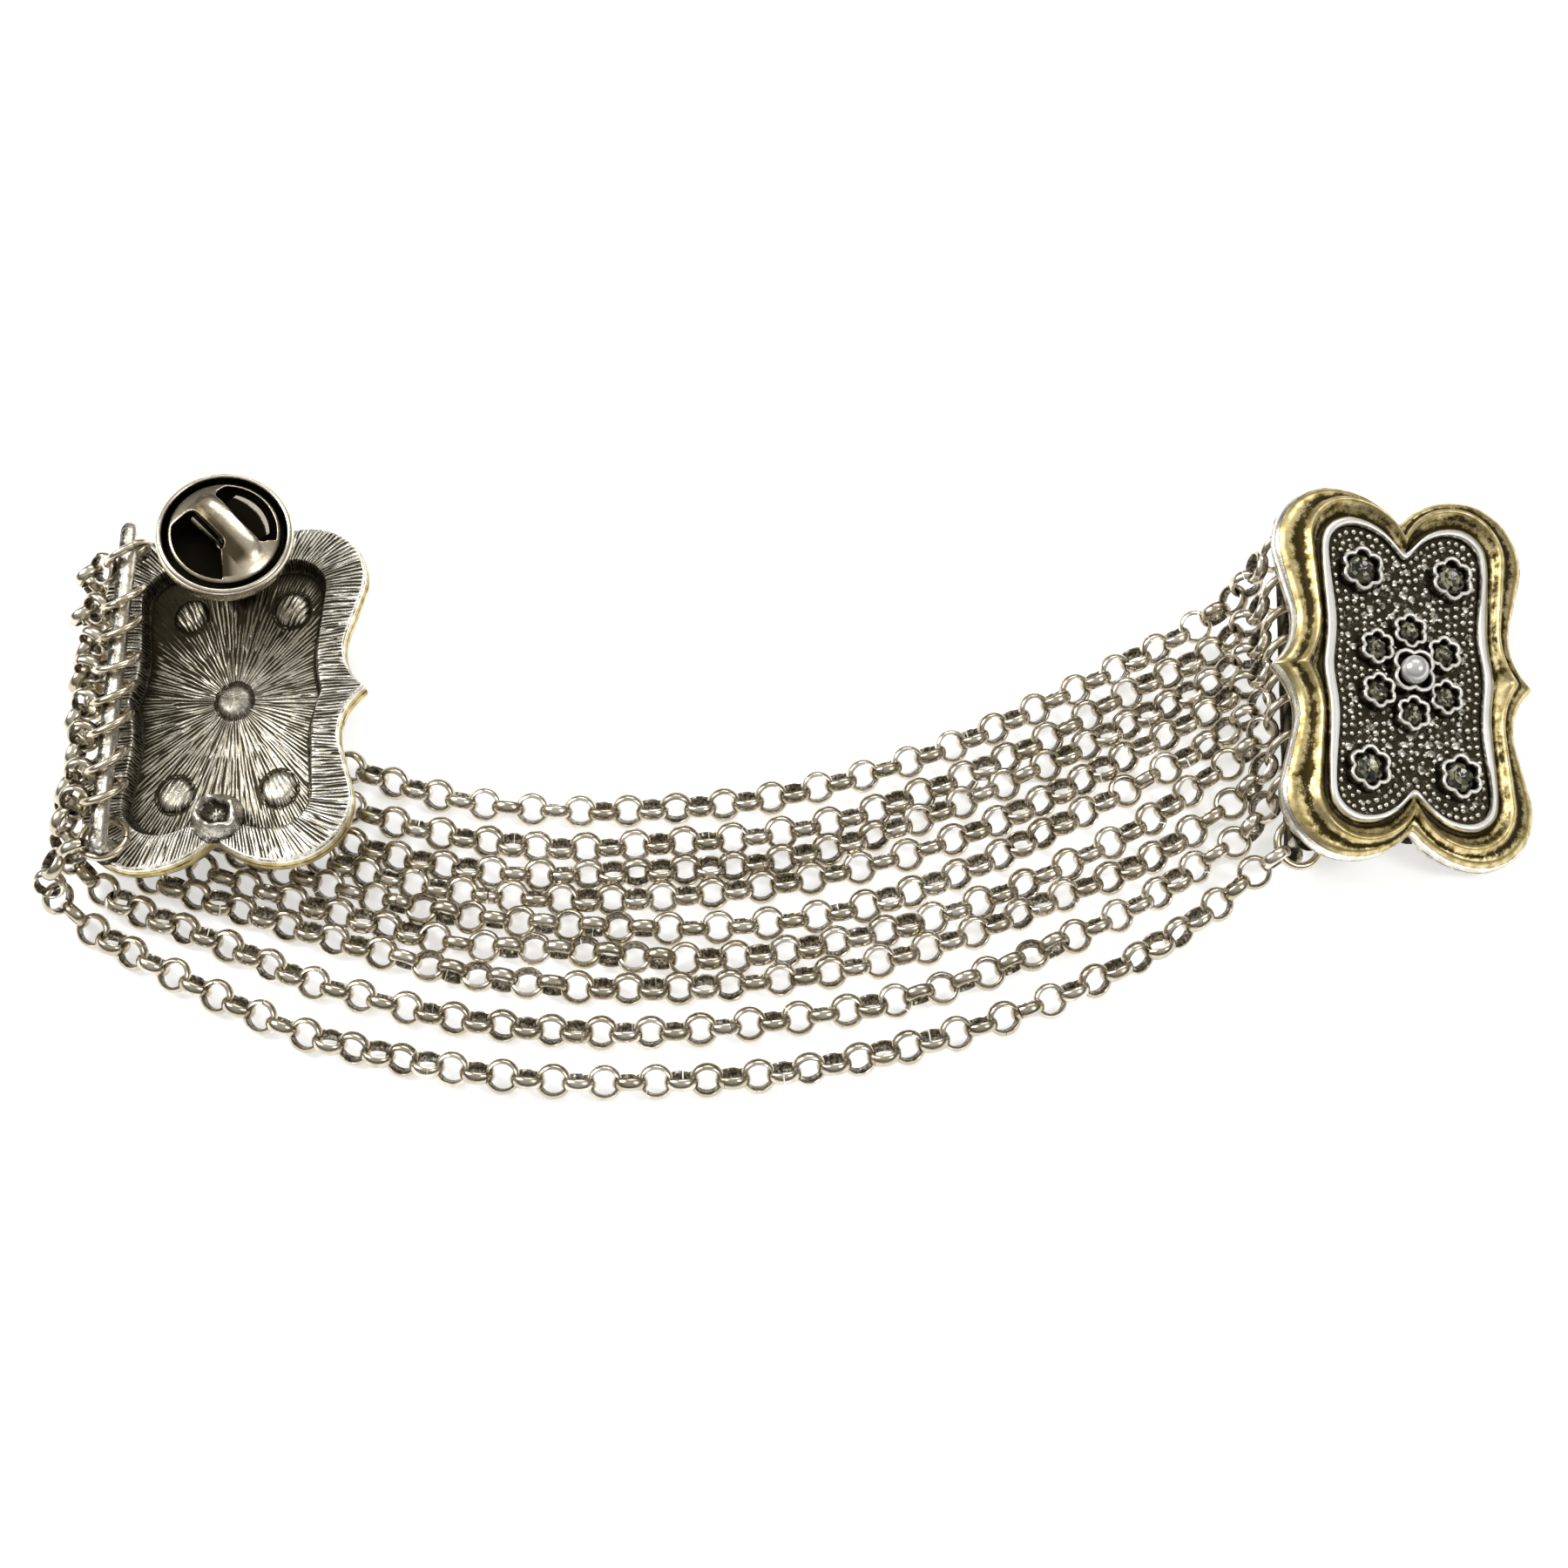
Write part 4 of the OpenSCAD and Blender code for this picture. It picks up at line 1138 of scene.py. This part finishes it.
RIDGE_ANGLE, RIDGE_V, RIDGE_HALF, RIDGE_REACH = -47, 0.4, 1.2, 4.05
WINDOW_R, WINDOW_HALF, WINDOW_CORNER = 4.36, 3.3, 0.8
DOME_TOP = [
    (0.02, 0.84), (1.5, 0.8), (2.6, 0.66), (3.4, 0.44), (4.0, 0.2), (4.4, 0.02), (4.62, -0.12),
    (4.73, -0.32), (4.7, -0.5),
]
DOME_UNDER = [(4.5, -0.5), (4.34, -0.32), (4.0, -0.12), (3.2, 0.14), (0.02, 0.42)]
VOXEL, SMOOTHINGS = 0.06, 22
# A wing's dark is painted shadow, deep within the windows.
LEAF_ROWS, LEAF_T, LEAF_PAINTED_SHADOW = 8, 0.16, 1.5


def turned_flat(points):
    """Points of the spring's own plane turned to the ridge's angle."""
    c, s = cos(radians(RIDGE_ANGLE)), sin(radians(RIDGE_ANGLE))
    return points @ np.array([[c, s, 0], [-s, c, 0], [0, 0, 1]])


def window(sign, edge, near_end):
    """A rounded D that cuts one window of the spring. Its side by the ridge ends at near_end."""
    first = atan2(sqrt(WINDOW_R ** 2 - WINDOW_HALF ** 2), WINDOW_HALF)
    parts = [polar(WINDOW_R, np.linspace(first, pi - first, 40))]
    for x, start in ((-WINDOW_HALF + WINDOW_CORNER, pi), (near_end - WINDOW_CORNER, 1.5 * pi)):
        bend = np.linspace(start, start + pi / 2, 8)
        parts.append(polar(WINDOW_CORNER, bend) + (x, edge + WINDOW_CORNER))
    flat = np.concatenate(parts) * (1, sign)
    return skin(np.stack([at_height(flat, RIM_Z + z) for z in (-1.5, 2.0)]))


def ridge():
    """The rounded ridge between the windows, its ends sunk in the dome."""
    a = circle(28)
    rows = []
    for s in np.linspace(-1, 1, 31):
        size = sqrt(max(0.01, 1 - abs(s) ** 5))
        sink = 0.55 * abs(s) ** 3.5
        rows.append(across(
            RIDGE_REACH * s,
            RIDGE_V + RIDGE_HALF * (0.7 + 0.3 * size + 0.25 * s * s) * size * np.cos(a),
            RIM_Z + 0.46 - sink + size * np.where(np.sin(a) > 0, 0.46, 0.28) * np.sin(a),
        ))
    return skin(np.stack(rows))


def made_shell(obj, extra=()):
    """The object's points and faces with its modifiers applied. It and its helpers are removed."""
    bpy.context.view_layer.update()
    mesh = obj.evaluated_get(bpy.context.evaluated_depsgraph_get()).to_mesh()
    points = np.array([v.co for v in mesh.vertices])
    faces = [list(p.vertices) for p in mesh.polygons]
    for old in [obj, *extra]:
        bpy.data.objects.remove(old)
    return points, faces, {}


def pressed_sheet():
    """Dome, windows and ridge as one sheet: cut, melted together and smoothed, at 1 unit a mm."""
    dome = new_object("dome", *joined([lathe([(r, RIM_Z + z, 0) for r, z in DOME_TOP + DOME_UNDER], 96)]))
    cutters = [new_object(name, *joined([window(*form)]))
               for name, form in (("left_cutter", (-1, 0.62, 1.35)), ("right_cutter", (1, 1.45, 3.0)))]
    for cutter in cutters:
        modifier = dome.modifiers.new("cut", "BOOLEAN")
        modifier.operation, modifier.object, modifier.solver = "DIFFERENCE", cutter, "EXACT"
    whole = new_object("whole", *joined([made_shell(dome, cutters), ridge()]))
    melt = whole.modifiers.new("melt", "REMESH")
    melt.mode, melt.voxel_size = "VOXEL", VOXEL
    soften = whole.modifiers.new("soften", "SMOOTH")
    soften.factor, soften.iterations = 0.5, SMOOTHINGS
    return made_shell(whole)


def spring_body():
    """The pressed sheet with painted shade: dark down its windows' walls and brown on the ridge's lower
    flank.
    """
    points, faces, _ = pressed_sheet()
    u, v = points[:, 0], points[:, 1]
    radius = np.hypot(u, v)
    # Painted shade: the ridge's lower flank and the slope past the right window, turned brown through
    # tone.
    flank = smoothstep(-0.1, 0.8, 0.45 - v) * (1 - smoothstep(2.6, 3.8, np.abs(u))) * (v > -1.2)
    past = 0.59 * (u - 1.35) + 0.81 * (v + 1.42)
    slope = (1 - smoothstep(0.2, 1.5, past)) * (past > -0.2) * (v < -0.4) * (radius < 4.2)
    flank = np.maximum(flank, slope)
    depth = np.interp(radius, *np.array(DOME_TOP).T) - (points[:, 2] - RIM_Z)
    # Painted shade down the windows' walls and under the dome, and darker at the dome's edge by the rim.
    dark = 0.08 + 1.0 * smoothstep(0.06, 0.4, depth) + 0.3 * smoothstep(4.4, 4.7, radius) + 0.25 * flank
    return turned_flat(points), faces, {"dark": dark, "tone": 0.25 + 1.6 * flank}


def leaf(u, v_a, v_b, z_a, z_b, bright):
    """A thin wing between two lines, painted dark as shadow but for that share of its width along the
    second.
    """
    top = np.stack([across(u, v_a * (1 - t) + v_b * t, RIM_Z + z_a * (1 - t) + z_b * t)
                    for t in [*np.linspace(0, 1 - bright, LEAF_ROWS), 1]])
    dark = np.full((2 * len(top), 1), LEAF_PAINTED_SHADOW)
    dark[LEAF_ROWS - 1:LEAF_ROWS + 3] = 0.0
    points, faces, values = skin(np.concatenate([top, top[::-1] - (0, 0, LEAF_T)]), closed=False,
                                 caps=False, dark=dark)
    return turned_flat(points), faces, values


def clutch_spring():
    """The pressed sheet and the wings seen through its windows."""
    u, w = np.linspace(-2.15, 2.35, 34), np.linspace(-2.9, 0.9, 24)
    right_leaf = leaf(u, 1.0, np.sqrt(3.72 ** 2 - u ** 2), -0.35, -0.25, 0.08)
    left_leaf = leaf(w, -0.76, -1.32 + 0.1 * (w + 2.9), -0.1, -0.4, 0.55)
    return [spring_body(), right_leaf, left_leaf]


piece("clutch_cup_pressed", [clutch_cup()], CLUTCH_METAL, ["clutch_cup"], CLUTCH, "clutch")
piece("clutch_wing_spring", clutch_spring(), CLUTCH_METAL, ["clutch_spring"], CLUTCH,
      "clutch", sharp=70)
hidden_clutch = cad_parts["right_clutch"]
hidden_clutch.data.materials.clear()
hidden_clutch.data.materials.append(CLUTCH_METAL)


# Table and light, in metres

def table_top():
    mesh = bpy.data.meshes.new("table_top")
    mesh.from_pydata([(-2, -2, 0), (2, -2, 0), (2, 2, 0), (-2, 2, 0)], [], [(0, 1, 2, 3)])
    obj = linked("table_top", mesh)
    obj.location.z = -0.00001
    mat, tree, shader = new_material("white_table")
    feed(tree, shader, {
        "Base Color": (0.93, 0.93, 0.93, 1), "Roughness": 0.7,
        "Emission Color": (1, 1, 1, 1), "Emission Strength": 0.5,
    })
    mesh.materials.append(mat)


def soft_box(name, at, size, power):
    """An area light that faces the middle of the part."""
    data = bpy.data.lights.new(name, "AREA")
    data.shape, data.size, data.size_y, data.energy = "RECTANGLE", size[0], size[1], power
    obj = linked(name, data)
    obj.location = at
    obj.rotation_euler = (Vector((0, 0, 0.005)) - Vector(at)).to_track_quat("-Z", "Y").to_euler()


def studio():
    """A sky that is dark near the table and grey overhead, with three soft boxes."""
    world = bpy.data.worlds.new("studio")
    world.use_nodes = True
    tree = world.node_tree
    way = signal(tree, "TexCoord", {}, "Generated")
    height = signal(tree, "SeparateXYZ", {0: way}, "Z")
    feed(tree, tree.nodes["Background"], {
        "Color": (1.0, 0.99, 0.97, 1), "Strength": ramp(height, 0.1, 0.98, 0.07, 0.58),
    })
    bpy.context.scene.world = world
    soft_box("left_box", (-0.5, 0.15, 0.5), (0.34, 0.4), 3.2)
    soft_box("right_box", (0.5, -0.2, 0.6), (0.22, 0.26), 1.3)
    soft_box("back_box", (0.1, 0.5, 0.62), (0.5, 0.16), 1.5)
    bpy.context.scene.view_settings.view_transform = "Standard"


table_top()
studio()
